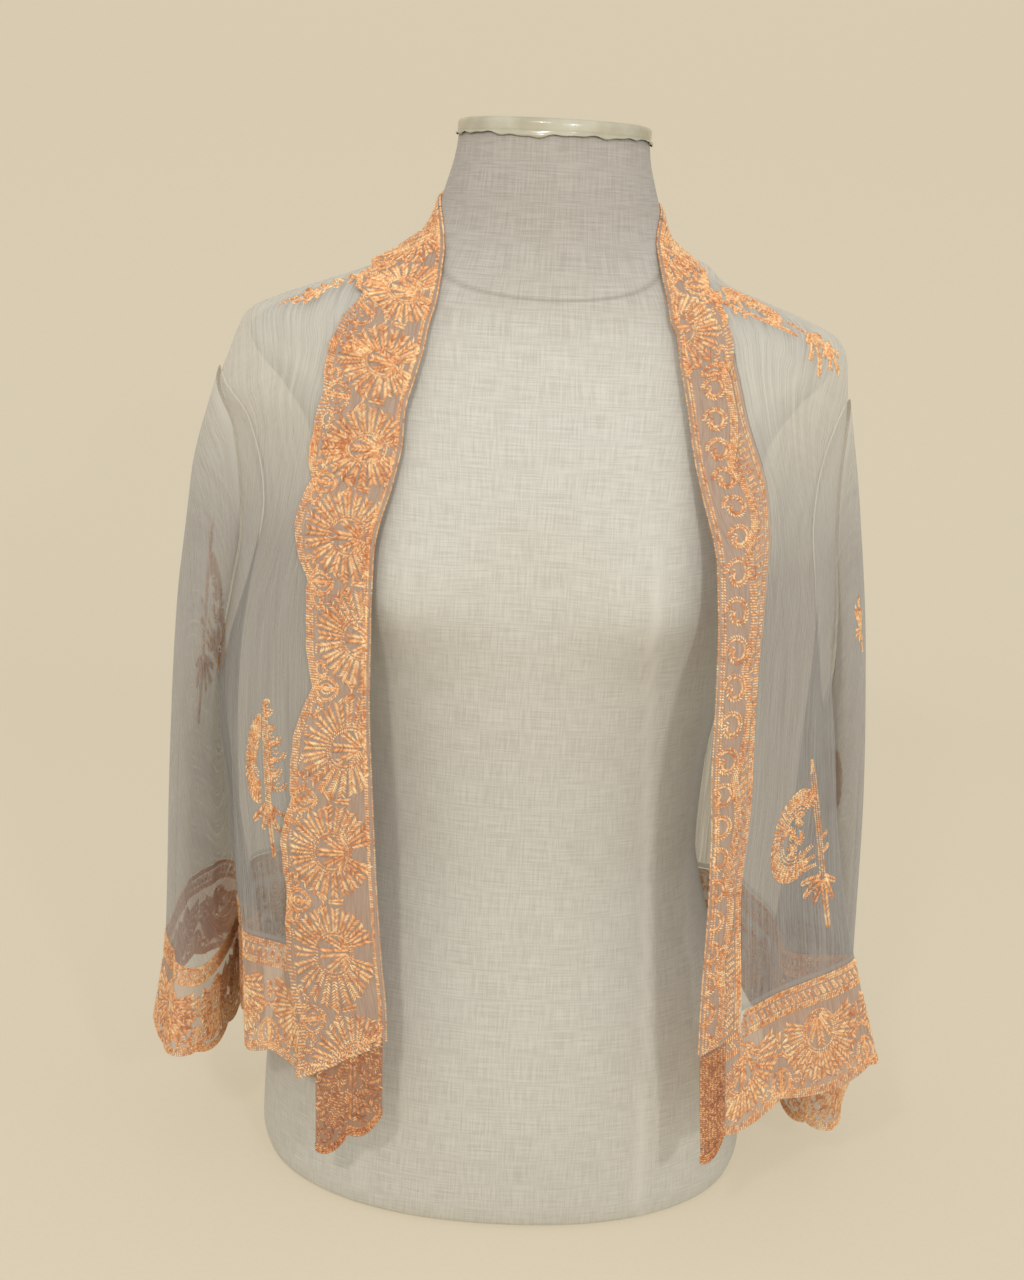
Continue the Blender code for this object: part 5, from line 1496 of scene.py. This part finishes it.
def branch_rows():
    """A long stem with pairs of short leaves, laid along a shoulder."""
    rows = [chain(curve([0.0, 0.002, 0.0], [0.030, 0.0, -0.030]))]
    for number, y in enumerate(BRANCH_PAIRS):
        for hand in (-1, 1):
            rows.append(rope(curve([0.0, hand * 0.0075], [y, y - 0.0075 + 0.001 * number]), 0.0012, 0.0020))
    rows.append(rope(curve([0.0, 0.0], [-0.026, -0.038]), 0.0020, 0.0012))
    return rows


def sprig_rows():
    """A small leafy sprig."""
    leaves = [rope(np.linspace((0.0, 0.0), tip, 8), 0.0014, 0.0022) for tip in SPRIG_TIPS]
    return [rope(curve([0.0, -0.001, 0.001], [0.018, 0.008, 0.0]), 0.0012)] + leaves


def spun(at, tilt, mirror, size):
    """Places of a motif when it is mirrored, sized and tilted in degrees."""
    turned = math.radians(tilt)
    spin = np.array([[math.cos(turned), math.sin(turned)], [-math.sin(turned), math.cos(turned)]])
    return (at * np.array([mirror, 1.0]) * size) @ spin


def on_body(centre, stitches, *look):
    """Stitches of a motif laid on the body's cloth round a place, with its tilt, mirroring and size."""
    spots, directions, shapes = stitches

    def to_cloth(at):
        at = spun(at, *look)
        place = walk(*centre, at[:, 0], at[:, 1], steps=6)
        return lifted(place, crease(*place))

    points, normals = to_cloth(spots)
    return points, to_cloth(spots + directions * AHEAD)[0], normals, shapes


def on_tube(cloth, row, column, stitches, tilt, mirror, size, lift):
    """The same on a sleeve, round one of its grid's cells and lifted off it."""
    spots, directions, shapes = stitches
    cells = (row, column), (row, column + 1.0), (row + 1.0, column)
    here, right, below = (cloth.at(np.array([r]), np.array([c]))[0] for r, c in cells)
    step = np.array([np.linalg.norm(right - here), np.linalg.norm(below - here)])

    def to_cell(at):
        at = spun(at, tilt, mirror, size) / step
        return cloth.at(row + at[:, 1], column + at[:, 0])

    points, normals = to_cell(spots)
    ahead, _ = to_cell(spots + directions * AHEAD)
    return points + normals * lift, ahead + normals * lift, normals, shapes


# Materials. Colours are given as seen, from 0 to 255, and turned into linear light here. An alpha is how
# much the cloth covers, and the crinkles and the weave swing round it
CHIFFON_COLOR, CHIFFON_ALPHA, CHIFFON_SWING, CHIFFON_SEAM_ALPHA = (149, 144, 137), 0.54, 0.13, 0.74
GROUND_COLOR, GROUND_ALPHA, GROUND_SWING, GROUND_SEAM_ALPHA = (172, 146, 126), 0.80, 0.06, 0.9
GROUND_SCALES, WEAVE_SCALE, WEAVE_SWING, PALE_STEP = (60.0, 900.0), 3200.0, 0.06, 12
# Painted light: the cuff ground's inner side is tinted light orange and made clearer, standing for light
# shining through the cuff
INSIDE_GLOW_COLOR, INSIDE_CLEARER, CUFF_ALPHA = (214, 146, 104), -0.10, 0.66
# Painted light: the chiffon turns paler between these two heights, up to this share, as light from above
# falls on the shoulders
SHOULDER_LIGHT_HEIGHTS, SHOULDER_LIGHT_SHARE, SHOULDER_LIGHT_COLOR = (0.45, 0.56), 0.90, (220, 214, 199)
END_COLOR, END_ALPHA = (150, 112, 86), 0.92
THREAD_COLORS = ((200, 120, 66), (243, 182, 122), (255, 228, 176))
REVERSE_COLORS = ((150, 84, 46), (198, 132, 84), (238, 186, 128))
LINEN_COLOR, LINEN_DARK = (201, 197, 185), (183, 178, 166)
# Painted shade: the linen turns darker up the neck, where less light falls on it
NECK_SHADE_COLOR, NECK_SHADE_DARK = (176, 169, 159), (156, 149, 139)
SEAM_COLOR, TAPE_COLOR = (122, 113, 101), (210, 205, 193)
CAP_COLOR, CAP_STAIN = (186, 180, 158), (166, 158, 134)
BACKDROP_COLOR, BACKDROP_BASE = (213, 201, 172), (142, 134, 124)
BACKDROP_NEAR, BACKDROP_GLOW = (139, 131, 121), 0.68


def linear(color):
    """Linear light from a colour as seen, with full opacity."""
    shares = np.array(color, float) / 255.0
    light = np.where(shares > 0.04045, ((shares + 0.055) / 1.055) ** 2.4, shares / 12.92)
    return (*light.tolist(), 1.0)


class Nodes:
    """A material's node tree, built one node at a time."""

    def __init__(self, name):
        self.material = bpy.data.materials.new(name)
        self.material.use_nodes = True
        self.tree = self.material.node_tree
        self.tree.nodes.clear()
        self.shader = self.add("BsdfPrincipled")
        output = self.add("OutputMaterial")
        self.tree.links.new(self.shader.outputs["BSDF"], output.inputs["Surface"])

    def add(self, kind, inputs=None, **settings):
        node = self.tree.nodes.new("ShaderNode" + kind)
        for name, value in settings.items():
            setattr(node, name, value)
        for name, value in (inputs or {}).items():
            self.feed(node.inputs[name], value)
        return node

    def feed(self, socket, value):
        """Links an input to another node's output, or gives it a value."""
        if isinstance(value, bpy.types.NodeSocket):
            self.tree.links.new(value, socket)
        else:
            socket.default_value = value

    def set(self, **values):
        """Values and links on the surface shader: underscores stand for spaces."""
        for name, value in values.items():
            self.feed(self.shader.inputs[name.replace("_", " ")], value)

    def math(self, operation, first, second=0.0):
        return self.add("Math", {0: first, 1: second}, operation=operation).outputs[0]

    def sum(self, first, second, share):
        """The first value and a share of the second."""
        return self.math("ADD", first, self.math("MULTIPLY", second, share))

    def mix(self, share, first, second):
        return self.add("Mix", {0: share, 6: first, 7: second}, data_type="RGBA").outputs[2]

    def grain(self, scale, turned=0.0, detail=2.0, roughness=0.5):
        """Noise over the cloth's own UV coordinates, stretched by a scale for each direction."""
        place = self.add("UVMap")
        angles = (0.0, 0.0, math.radians(turned))
        turn = {"Vector": place.outputs["UV"], "Rotation": angles, "Scale": (*scale, 1.0)}
        stretch = self.add("Mapping", turn)
        values = {"Vector": stretch.outputs["Vector"], "Scale": 1.0, "Detail": detail, "Roughness": roughness}
        return self.add("TexNoise", values).outputs["Fac"]

    def cloud(self, scale, detail=2.0):
        """Noise over the object's own space, in metres."""
        place = self.add("TexCoord").outputs["Object"]
        return self.add("TexNoise", {"Vector": place, "Scale": scale, "Detail": detail}).outputs["Fac"]

    def height(self):
        """How high a point of the object stands, in metres."""
        return self.add("SeparateXYZ", {0: self.add("TexCoord").outputs["Object"]}).outputs[2]

    def between(self, value, low, high, start=0.0, end=1.0):
        """A value between two levels spread over a range."""
        values = {"Value": value, "From Min": low, "From Max": high, "To Min": start, "To Max": end}
        return self.add("MapRange", values).outputs["Result"]

    def attribute(self, name):
        return self.add("Attribute", attribute_name=name).outputs["Fac"]

    def bump(self, height, distance, strength=1.0):
        values = {"Height": height, "Distance": distance, "Strength": strength}
        self.set(Normal=self.add("Bump", values).outputs["Normal"])


def sheer_cloth(name, scales, color, alpha, swing, dense_alpha, turned=0.0, inside=None, lit_top_color=None):
    """Sheer crinkled cloth: its crinkles run along one direction of its UV coordinates."""
    along, across = scales
    nodes = Nodes(name)
    crinkle = nodes.grain((across, along), turned, detail=3.0, roughness=0.55)
    wide = nodes.grain((across * 0.22, along * 0.35), turned)
    weave = nodes.grain((WEAVE_SCALE, WEAVE_SCALE), turned, detail=0.0)
    cover = nodes.math("ADD", nodes.between(crinkle, 0.32, 0.68, -swing, swing), alpha)
    cover = nodes.math("ADD", cover, nodes.between(wide, 0.35, 0.65, -0.4 * swing, 0.4 * swing))
    cover = nodes.math("ADD", cover, nodes.between(weave, 0.3, 0.7, -WEAVE_SWING, WEAVE_SWING))
    cover = nodes.math("MAXIMUM", cover, nodes.math("MULTIPLY", nodes.attribute("dense"), dense_alpha))
    pale = tuple(min(255, value + PALE_STEP) for value in color)
    shown = nodes.mix(nodes.between(crinkle, 0.35, 0.65), linear(color), linear(pale))
    # Painted light: paler towards the shoulders, where light from above falls
    if lit_top_color is not None:
        high = nodes.between(nodes.height(), *SHOULDER_LIGHT_HEIGHTS, 0.0, SHOULDER_LIGHT_SHARE)
        shown = nodes.mix(high, shown, linear(lit_top_color))
    # Painted light: the inner side is tinted as if lit by light shining through the cloth
    if inside is not None:
        reverse = nodes.add("NewGeometry").outputs["Backfacing"]
        shown = nodes.mix(reverse, shown, linear(inside))
        cover = nodes.sum(cover, reverse, INSIDE_CLEARER)
    nodes.set(Alpha=nodes.add("Clamp", {"Value": cover, "Min": 0.05, "Max": 0.98}).outputs["Result"])
    nodes.set(Base_Color=shown, Roughness=0.78)
    nodes.set(Sheen_Weight=0.35, Sheen_Roughness=0.45, Specular_IOR_Level=0.25)
    nodes.bump(nodes.sum(crinkle, wide, 1.5), 0.0007, 0.6)
    return nodes.material


def thread(name, dark, mid, light):
    """Silky embroidery thread: every stitch has its own tone."""
    nodes = Nodes(name)
    patches = nodes.between(nodes.cloud(55.0), 0.35, 0.65)
    share = nodes.sum(nodes.math("MULTIPLY", nodes.attribute("tone"), 0.75), patches, 0.25)
    ramp = nodes.add("ValToRGB", {"Fac": share})
    ends = ramp.color_ramp.elements
    ends[0].color, ends[0].position = linear(dark), 0.05
    ends[1].color, ends[1].position = linear(light), 0.95
    ends.new(0.5).color = linear(mid)
    nodes.set(Base_Color=ramp.outputs["Color"], Roughness=0.42)
    nodes.set(Specular_IOR_Level=0.45, Sheen_Weight=0.25, Sheen_Roughness=0.35)
    return nodes.material


def linen():
    """Plain linen with slubs both ways, with painted shade that darkens the neck, and paler on its tapes."""
    nodes = Nodes("linen")
    weft = nodes.grain((55.0, 1250.0), detail=1.0, roughness=0.6)
    warp = nodes.grain((1250.0, 55.0), detail=1.0, roughness=0.6)
    slub = nodes.grain((40.0, 700.0), detail=1.0)
    fine = nodes.grain((2600.0, 2600.0), detail=0.0)
    woven = nodes.sum(nodes.math("MULTIPLY", weft, 0.5), warp, 0.5)
    woven = nodes.sum(woven, nodes.math("SUBTRACT", slub, 0.5), 0.18)
    woven = nodes.sum(woven, nodes.math("SUBTRACT", fine, 0.5), 0.3)
    light = nodes.between(woven, 0.36, 0.62)
    color = nodes.mix(light, linear(LINEN_DARK), linear(LINEN_COLOR))
    # Painted shade on the neck
    color = nodes.mix(nodes.attribute("neck"), color, nodes.mix(light, linear(NECK_SHADE_DARK), linear(NECK_SHADE_COLOR)))
    color = nodes.mix(nodes.math("MULTIPLY", nodes.attribute("seam"), 0.45), color, linear(SEAM_COLOR))
    color = nodes.mix(nodes.attribute("tape"), color, linear(TAPE_COLOR))
    nodes.set(Base_Color=color, Roughness=0.92, Specular_IOR_Level=0.2)
    nodes.set(Sheen_Weight=0.15, Sheen_Roughness=0.6)
    nodes.bump(woven, 0.0006, 0.55)
    return nodes.material


def cream_plastic():
    nodes = Nodes("cream_plastic")
    stain = nodes.between(nodes.cloud(60.0, 4.0), 0.35, 0.7)
    nodes.set(Base_Color=nodes.mix(stain, linear(CAP_COLOR), linear(CAP_STAIN)))
    nodes.set(Roughness=nodes.between(nodes.cloud(240.0), 0.3, 0.7, 0.16, 0.32))
    nodes.set(Specular_IOR_Level=0.5, Coat_Weight=0.3, Coat_Roughness=0.12)
    nodes.bump(nodes.cloud(90.0, 3.0), 0.0012, 0.35)
    return nodes.material


def backdrop_material():
    nodes = Nodes("backdrop")
    speckle = nodes.between(nodes.cloud(300.0, 1.0), 0.3, 0.7)
    nodes.set(Base_Color=nodes.mix(speckle, linear(BACKDROP_NEAR), linear(BACKDROP_BASE)), Roughness=1.0)
    nodes.set(Specular_IOR_Level=0.0, Emission_Color=linear(BACKDROP_COLOR), Emission_Strength=BACKDROP_GLOW)
    return nodes.material


CHIFFON = (CHIFFON_COLOR, CHIFFON_ALPHA, CHIFFON_SWING, CHIFFON_SEAM_ALPHA)
CUFF = (GROUND_COLOR, CUFF_ALPHA, GROUND_SWING, GROUND_SEAM_ALPHA)
MATERIALS = {
    "chiffon_down": sheer_cloth("chiffon_down", (15.0, 950.0), *CHIFFON, lit_top_color=SHOULDER_LIGHT_COLOR),
    "chiffon_across": sheer_cloth("chiffon_across", (950.0, 18.0), *CHIFFON, 6.0, lit_top_color=SHOULDER_LIGHT_COLOR),
    "border_ground": sheer_cloth(
        "border_ground", GROUND_SCALES, GROUND_COLOR, GROUND_ALPHA, GROUND_SWING, GROUND_SEAM_ALPHA
    ),
    "cuff_ground": sheer_cloth("cuff_ground", GROUND_SCALES, *CUFF, inside=INSIDE_GLOW_COLOR),
    "end_ground": sheer_cloth("end_ground", GROUND_SCALES, END_COLOR, END_ALPHA, 0.04, 0.95),
    "thread": thread("thread", *THREAD_COLORS),
    "thread_reverse": thread("thread_reverse", *REVERSE_COLORS),
    "linen": linen(),
    "cream_plastic": cream_plastic(),
    "backdrop": backdrop_material(),
}

# The dress form's linen: its seams and tapes
NECK_SEAM_FRONT, NECK_SEAM_SIDE, NECK_SEAM_BACK = 0.606, 0.640, 0.646
SEAM_GROOVE, SEAM_SPREAD = 0.0005, 0.0008
TAPE_LINE = ((0.0, 0.097), (0.16, 0.090), (0.296, 0.082), (0.43, 0.074), (0.56, 0.070))
TAPE_HALF, TAPE_RISE, TAPE_TOP = 0.0030, 0.0002, 0.47
PLATE_MIDDLE, PLATE_HEIGHT, PLATE_DEPTH, PLATE_TALL, PLATE_BAND = -0.004, 0.512, 0.062, 0.066, 0.0045
FORM_LEVELS, FORM_SPLITS = 130, 140
# Extra rings near the foot and round the seam: from which height to which, and how many
FOOT_TOP, FOOT_LEVELS, SEAM_FOOT, SEAM_TOP, SEAM_LEVELS, SEAM_CLEAR = 0.02, 10, 0.600, 0.652, 66, 0.0005
# Where the painted shade on the neck begins and over what height it grows, over what height the tapes end,
# the right tape's share of the left one's paleness, and how pale both are
NECK_SHADE_FROM, NECK_SHADE_OVER, TAPE_FADE, TAPE_FAINT, TAPE_SHARE = 0.56, 0.10, 0.03, 0.35, 0.6
# How pale the armholes' bands are, and how far out they start
PLATE_SHARE, PLATE_FROM = 0.7, 0.10
# The cap is drawn flatter and the neck under it taller than the solids, as in the photo
NECK_RISE, NECK_RISE_FROM, CAP_FLAT, CAP_RISE = 0.0125, 0.60, 0.62, 0.0050


def neck_seam(angle):
    """Height of the seam round the neck's foot."""
    towards_back = np.sin(np.radians(angle))
    front = lerp(NECK_SEAM_SIDE, NECK_SEAM_FRONT, np.clip(-towards_back, 0, 1) ** 2)
    back = lerp(NECK_SEAM_SIDE, NECK_SEAM_BACK, np.clip(towards_back, 0, 1) ** 1.5)
    return np.where(towards_back < 0, front, back)


def form_grid():
    """Angles and heights of the form's points, with more rings near its foot and round its seam."""
    near_seam = np.linspace(SEAM_FOOT, SEAM_TOP, SEAM_LEVELS)
    foot = np.linspace(0, FOOT_TOP, FOOT_LEVELS)[:-1]
    heights = np.concatenate([foot, np.linspace(FOOT_TOP, FORM_RINGS[-1][0], FORM_LEVELS)])
    beyond = (heights < SEAM_FOOT - SEAM_CLEAR) | (heights > SEAM_TOP + SEAM_CLEAR)
    angles = np.linspace(90, 450, FORM_SPLITS + 1)[:-1]
    return np.meshgrid(angles, np.sort(np.concatenate([heights[beyond], near_seam])))


def form_marks(points, angle, height):
    """How much of the seam, the tapes and the armholes' bands there is at each of the form's points."""
    seam = np.exp(-(((height - neck_seam(angle)) / SEAM_SPREAD) ** 2))
    tape = np.exp(-(((np.abs(points[..., 0]) - np.interp(height, *zip(*TAPE_LINE))) / TAPE_HALF) ** 4))
    tape = tape * (height < TAPE_TOP) * ease((TAPE_TOP - height) / TAPE_FADE)
    away = np.hypot((points[..., 1] - PLATE_MIDDLE) / PLATE_DEPTH, (height - PLATE_HEIGHT) / PLATE_TALL)
    plate = np.exp(-(((away - 1) * PLATE_DEPTH / PLATE_BAND) ** 4)) * (np.abs(points[..., 0]) > PLATE_FROM)
    return seam, tape, plate


def dress_form():
    """The linen torso as one fine closed surface, with its neck seam sunk in and its tapes raised."""
    top = FORM_RINGS[-1][0]
    angle, height = form_grid()
    points = form_point(angle % 360, height)
    radius = np.hypot(closed(points)[..., 0], closed(points)[..., 1]).mean(1, keepdims=True)
    threads = np.radians(np.append(angle[0], 450.0) - 270.0) * radius
    grain = np.stack([threads, np.broadcast_to(height[:, :1], threads.shape)], -1)
    normals = tube_normals(points)
    normals = normals * np.sign(dot(normals, points - points.mean(1, keepdims=True)).mean())
    seam, tape, plate = form_marks(points, angle, height)
    points = points + normals * (-SEAM_GROOVE * seam + TAPE_RISE * tape + TAPE_RISE * plate)[..., None]
    faded = TAPE_FAINT + (1 - TAPE_FAINT) * (points[..., 0] > 0)
    pale = np.maximum(tape * faded * TAPE_SHARE, plate * PLATE_SHARE)
    # How much painted shade darkens the neck at each point
    neck = ease((height - NECK_SHADE_FROM) / NECK_SHADE_OVER)
    values = {"neck": neck.ravel(), "tape": pale.ravel(), "seam": seam.ravel()}
    points[..., 2] += NECK_RISE * ease((height - NECK_RISE_FROM) / (top - NECK_RISE_FROM))
    ids = np.arange(angle.size).reshape(angle.shape)
    quads = cell_corners(closed(ids), ACROSS_FIRST)
    uv = cell_corners(grain, ACROSS_FIRST).reshape(-1, 2)
    made = make_object("dress_form_linen", points.reshape(-1, 3), quads, uv, values)
    made.data.materials.append(MATERIALS["linen"])
    close_ends(made, [ids[0][::-1], ids[-1]])
    return made


def close_ends(made, loops):
    """Fills the open ends of a tube with one flat face each."""
    shape = bmesh.new()
    shape.from_mesh(made.data)
    shape.verts.ensure_lookup_table()
    for loop in loops:
        face = shape.faces.new([shape.verts[int(index)] for index in loop])
        face.smooth = False
    shape.to_mesh(made.data)
    shape.free()


CAP_SPLITS, CAP_LIP_DEPTH, CAP_LIP_MIDDLE = 180, 0.0062, 0.35
# The lip's waves: how deep, how many round, and where they start
CAP_WAVES = ((0.22, 3, 0.6), (0.16, 7, 2.0), (0.13, 17, 0.0), (0.10, 29, 1.0))
# The lip's rings: the share of its depth and the half-width of each
CAP_LIP_RINGS = ((1.0, 0.0611), (0.9, 0.0617), (0.4, 0.0617))


def neck_cap():
    """The glossy cap on the neck, whose lower lip hangs over the linen unevenly."""
    turns = np.linspace(0, 2 * math.pi, CAP_SPLITS + 1)[:-1]
    ragged = CAP_LIP_MIDDLE
    for depth, count, start in CAP_WAVES:
        ragged = ragged + depth * np.sin(count * turns + start)
    lip = CAP_LIP_DEPTH * np.clip(ragged, 0.02, 1.0)
    rings = [(CAP_RINGS[0][0] - lip * share, radius + 0 * lip) for share, radius in CAP_LIP_RINGS]
    levels = np.linspace(0, 1, 14)[1:]
    heights, radii = (smooth(np.linspace(0, 1, len(CAP_RINGS)), values, levels) for values in zip(*CAP_RINGS))
    rings += [(height + 0 * lip, radius + 0 * lip) for height, radius in zip(heights, radii)]
    points = [np.stack([r * np.cos(turns), CAP_DEPTH_SHARE * r * np.sin(turns), z], -1) for z, r in rings]
    points = np.stack(points)
    points[..., 2] = CAP_RINGS[-1][0] + CAP_RISE - (CAP_RINGS[-1][0] - points[..., 2]) * CAP_FLAT
    ids = np.arange(points.shape[0] * CAP_SPLITS).reshape(points.shape[:2])
    made = make_object("neck_cap_gloss", points.reshape(-1, 3), cell_corners(closed(ids), ACROSS_FIRST))
    made.data.materials.append(MATERIALS["cream_plastic"])
    close_ends(made, [ids[-1]])
    return made


# Where the scattered motifs lie on the body: angle, reach, tilt, mirrored or not, size
BODY_MOTIFS = {
    "left_front": (("motif", 321.5, 0.468, 4.0, 1, 1.0),),
    "right_front": (("narrow", 219.5, 0.430, -2.0, 1, 1.0),),
    "back": (
        ("motif", 62.0, 0.330, 8.0, 1, 1.0),
        ("motif", 118.0, 0.300, -8.0, -1, 1.0),
        ("motif", 92.0, 0.440, 0.0, 1, 1.0),
    ),
}
SHOULDER_MOTIFS = {
    "left_front": (
        ("motif", 334.0, 0.104, 180.0, 1, 0.70),
        ("sprig", 333.5, 0.148, 180.0, 1, 0.9),
        ("sprig", 337.0, 0.158, 170.0, -1, 0.7),
    ),
    "right_front": (("branch", 203.5, 0.104, 180.0, 1, 1.0), ("sprig", 207.0, 0.120, 165.0, 1, 0.6)),
}


def scattered(name, seed):
    """The motifs and sprigs on one of the body's panels."""
    found = []
    for kind, angle, reach, *look in (*BODY_MOTIFS[name], *SHOULDER_MOTIFS.get(name, ())):
        found.append(on_body((angle, reach), MOTIF_STITCHES[kind], *look))
    return stitch_object(name + "_motifs", found, seed)


# Motifs on a sleeve: which one, share of its length and of the way round, tilt, mirrored or not, size, lift
SLEEVE_MOTIFS = {
    "right_sleeve": (("motif", 0.45, 0.84, 0.0, 1, 1.35, -0.0016),),
    "left_sleeve": (("sprig", 0.30, 0.18, 8.0, 1, 0.9, 0.0), ("motif", 0.72, 0.84, 0.0, -1, 0.9, 0.0)),
}


def sleeve_motifs(name, cloth, seed):
    """The motifs and sprigs on a sleeve."""
    rows, columns = cloth.points.shape[:2]
    found = []
    for kind, row, column, *look in SLEEVE_MOTIFS[name]:
        found.append(on_tube(cloth, row * (rows - 1), column * (columns - 1), MOTIF_STITCHES[kind], *look))
    return stitch_object(name + "_motifs", found, seed)


# The photograph's view: the camera's place, how far it looks down, its roll, and its focal length on a
# frame of this height in pixels
CAMERA_PLACE, CAMERA_PITCH, CAMERA_ROLL = (-0.010, -1.05, 0.658), math.radians(15.0), math.radians(3.0)
FOCAL_PIXELS, FRAME_PIXELS, SENSOR_HEIGHT = 1606, 1280, 24.0


def place_camera():
    """The photograph's view: slightly above the middle, looking a little down."""
    forward = np.array([0.0, math.cos(CAMERA_PITCH), -math.sin(CAMERA_PITCH)])
    right_level = np.array([1.0, 0.0, 0.0])
    up_level = np.array([0.0, math.sin(CAMERA_PITCH), math.cos(CAMERA_PITCH)])
    right = right_level * math.cos(CAMERA_ROLL) + up_level * math.sin(CAMERA_ROLL)
    up = up_level * math.cos(CAMERA_ROLL) - right_level * math.sin(CAMERA_ROLL)
    data = bpy.data.cameras.new("camera")
    data.sensor_fit, data.sensor_height = "VERTICAL", SENSOR_HEIGHT
    data.lens = FOCAL_PIXELS / FRAME_PIXELS * SENSOR_HEIGHT
    camera = bpy.data.objects.new("camera", data)
    columns = np.stack([right, up, -forward], 1)
    matrix = [[*row, place] for row, place in zip(columns.tolist(), CAMERA_PLACE)]
    camera.matrix_world = mathutils.Matrix([*matrix, [0.0, 0.0, 0.0, 1.0]])
    bpy.context.scene.collection.objects.link(camera)
    bpy.context.scene.camera = camera


# The two lamps: place, power in watts and colour. Both are discs of one size that face the same spot
LAMPS = {
    "key": ((-0.45, -1.70, 1.50), 9.8, (1.0, 0.96, 0.90)),
    "second": ((0.65, -1.75, 1.15), 8.4, (0.94, 0.97, 1.0)),
}
LAMP_TARGET, LAMP_SIZE = (0.0, 0.0, 0.35), 0.14
SKY_COLOR, SKY_STRENGTH = (0.97, 0.985, 1.0, 1.0), 0.86


def area_light(name, place, power_watts, color):
    data = bpy.data.lights.new(name, "AREA")
    data.shape, data.size, data.energy, data.color = "DISK", LAMP_SIZE, power_watts, color
    light = bpy.data.objects.new(name, data)
    light.location = place
    way = mathutils.Vector(LAMP_TARGET) - mathutils.Vector(place)
    light.rotation_euler = way.to_track_quat("-Z", "Y").to_euler()
    bpy.context.scene.collection.objects.link(light)


def lights():
    """Two soft lamps in front and an even light from all round."""
    for name, lamp in LAMPS.items():
        area_light(name, *lamp)
    world = bpy.data.worlds.new("world")
    world.use_nodes = True
    sky = world.node_tree.nodes["Background"].inputs
    sky["Color"].default_value = SKY_COLOR
    sky["Strength"].default_value = SKY_STRENGTH
    bpy.context.scene.world = world
    bpy.context.scene.view_settings.view_transform = "Standard"


# The backdrop: half its width, where its floor starts and bends up, the bend's radius, and how high its
# wall goes
BACKDROP_HALF, FLOOR_START, FLOOR_END, BEND_RADIUS, WALL_TOP = 4.0, -3.5, 1.0, 0.8, 3.5


def backdrop():
    """A pale floor that bends up into a wall behind."""
    profile = [(FLOOR_START, 0.0), (FLOOR_END, 0.0)]
    for a in np.linspace(0, math.pi / 2, 24)[1:]:
        profile.append((FLOOR_END + BEND_RADIUS * math.sin(a), BEND_RADIUS * (1 - math.cos(a))))
    profile.append((FLOOR_END + BEND_RADIUS, WALL_TOP))
    points = [(x, y, z) for y, z in profile for x in (-BACKDROP_HALF, BACKDROP_HALF)]
    quads = [(2 * i, 2 * i + 1, 2 * i + 3, 2 * i + 2) for i in range(len(profile) - 1)]
    made = make_object("backdrop", points, quads)
    made.data.materials.append(MATERIALS["backdrop"])
    return made


def declare(piece, node):
    """Hangs a sheet of cloth on the root and hides the part of the model that it replaces."""
    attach(piece, "root")
    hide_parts(node)


def sewn_on(piece):
    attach(piece, "root")


EDGE, FILL, SEWN = (stitches_along(rows) for rows in (edge_rows(), fill_rows(), sewn_rows()))
STRIP_FILL, FOLD = stitches_along(fill_rows(*STRIP_FAN)), stitches_along(along_repeat(FOLD_ROWS))
FOOT, FLAP = stitches_along(foot_rows()), stitches_along(flap_rows())
CURLS = stitches_along(curl_rows())
MOTIF_ROWS = {"motif": motif_rows, "narrow": narrow_rows, "sprig": sprig_rows, "branch": branch_rows}
MOTIF_STITCHES = {kind: stitches_along(rows()) for kind, rows in MOTIF_ROWS.items()}


# Each free end: its lift, its widths from the fold line, where its top lies from the strip's foot, where
# its foot lies at its two edges, how many scallops it has, where its pattern starts, and its seed
RIGHT_END = (END_LIFT, (0.0, 0.045), -0.004, (0.715, 0.749), 2, 0.020, 31)
LEFT_END = (FLAP_LIFT, (0.0, 0.017), 0.0009, (0.734, 0.717), 1, 0.0, 32)


def body_cloth():
    """The panels, strips, ends and hems: a node, its slot, its piece and the piece's stitches for each."""
    return [
        ("back", "chiffon", back_panel("back_cloth"), scattered("back", 21)),
        ("right_front", "chiffon", front_panel(RIGHT, "right_front_cloth"), scattered("right_front", 22)),
        ("left_front", "chiffon", front_panel(LEFT, "left_front_cloth"), scattered("left_front", 23)),
        ("right_front_border", "embroidery", *front_border(RIGHT, "right_front_border_cloth", 11)),
        ("left_front_border", "embroidery", *front_border(LEFT, "left_front_border_cloth", 12)),
        ("back_neck_border", "embroidery", *neck_border()),
        ("right_border_end", "embroidery", *strip_end(RIGHT, "right_border_end_cloth", *RIGHT_END)),
        ("left_border_end", "embroidery", *strip_end(LEFT, "left_border_end_cloth", *LEFT_END)),
        ("right_hem_border", "embroidery", *front_hem(RIGHT, "right_hem_border_cloth", 33)),
        ("left_hem_border", "embroidery", *front_hem(LEFT, "left_hem_border_cloth", 34)),
        ("back_hem_border", "embroidery", *back_hem("back_hem_border_cloth", 35)),
    ]


def sleeves():
    """The same for the sleeves and their cuffs."""
    body, made = Body(), []
    for side, rings, name in ((RIGHT, RIGHT_SLEEVE_RINGS, "right"), (LEFT, LEFT_SLEEVE_RINGS, "left")):
        names = (name + "_sleeve_cloth", name + "_cuff_cloth")
        sleeve, cuff, stitches, cloth = sleeve_and_cuff(side, rings, body, names, 41)
        made.append((name + "_sleeve", "chiffon", sleeve, sleeve_motifs(name + "_sleeve", cloth, 43)))
        made.append((name + "_cuff", "embroidery", cuff, stitches))
    return made


def main():
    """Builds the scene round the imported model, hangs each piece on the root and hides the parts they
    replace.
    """
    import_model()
    place_camera()
    lights()
    backdrop()
    form, cap = dress_form(), neck_cap()
    for piece, node, slot in ((form, "dress_form", "linen"), (cap, "neck_cap", "cream_plastic")):
        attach(piece, "root")
        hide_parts(node)
    for node, slot, cloth, stitches in body_cloth() + sleeves():
        sewn_on(stitches)
        declare(cloth, node)


main()
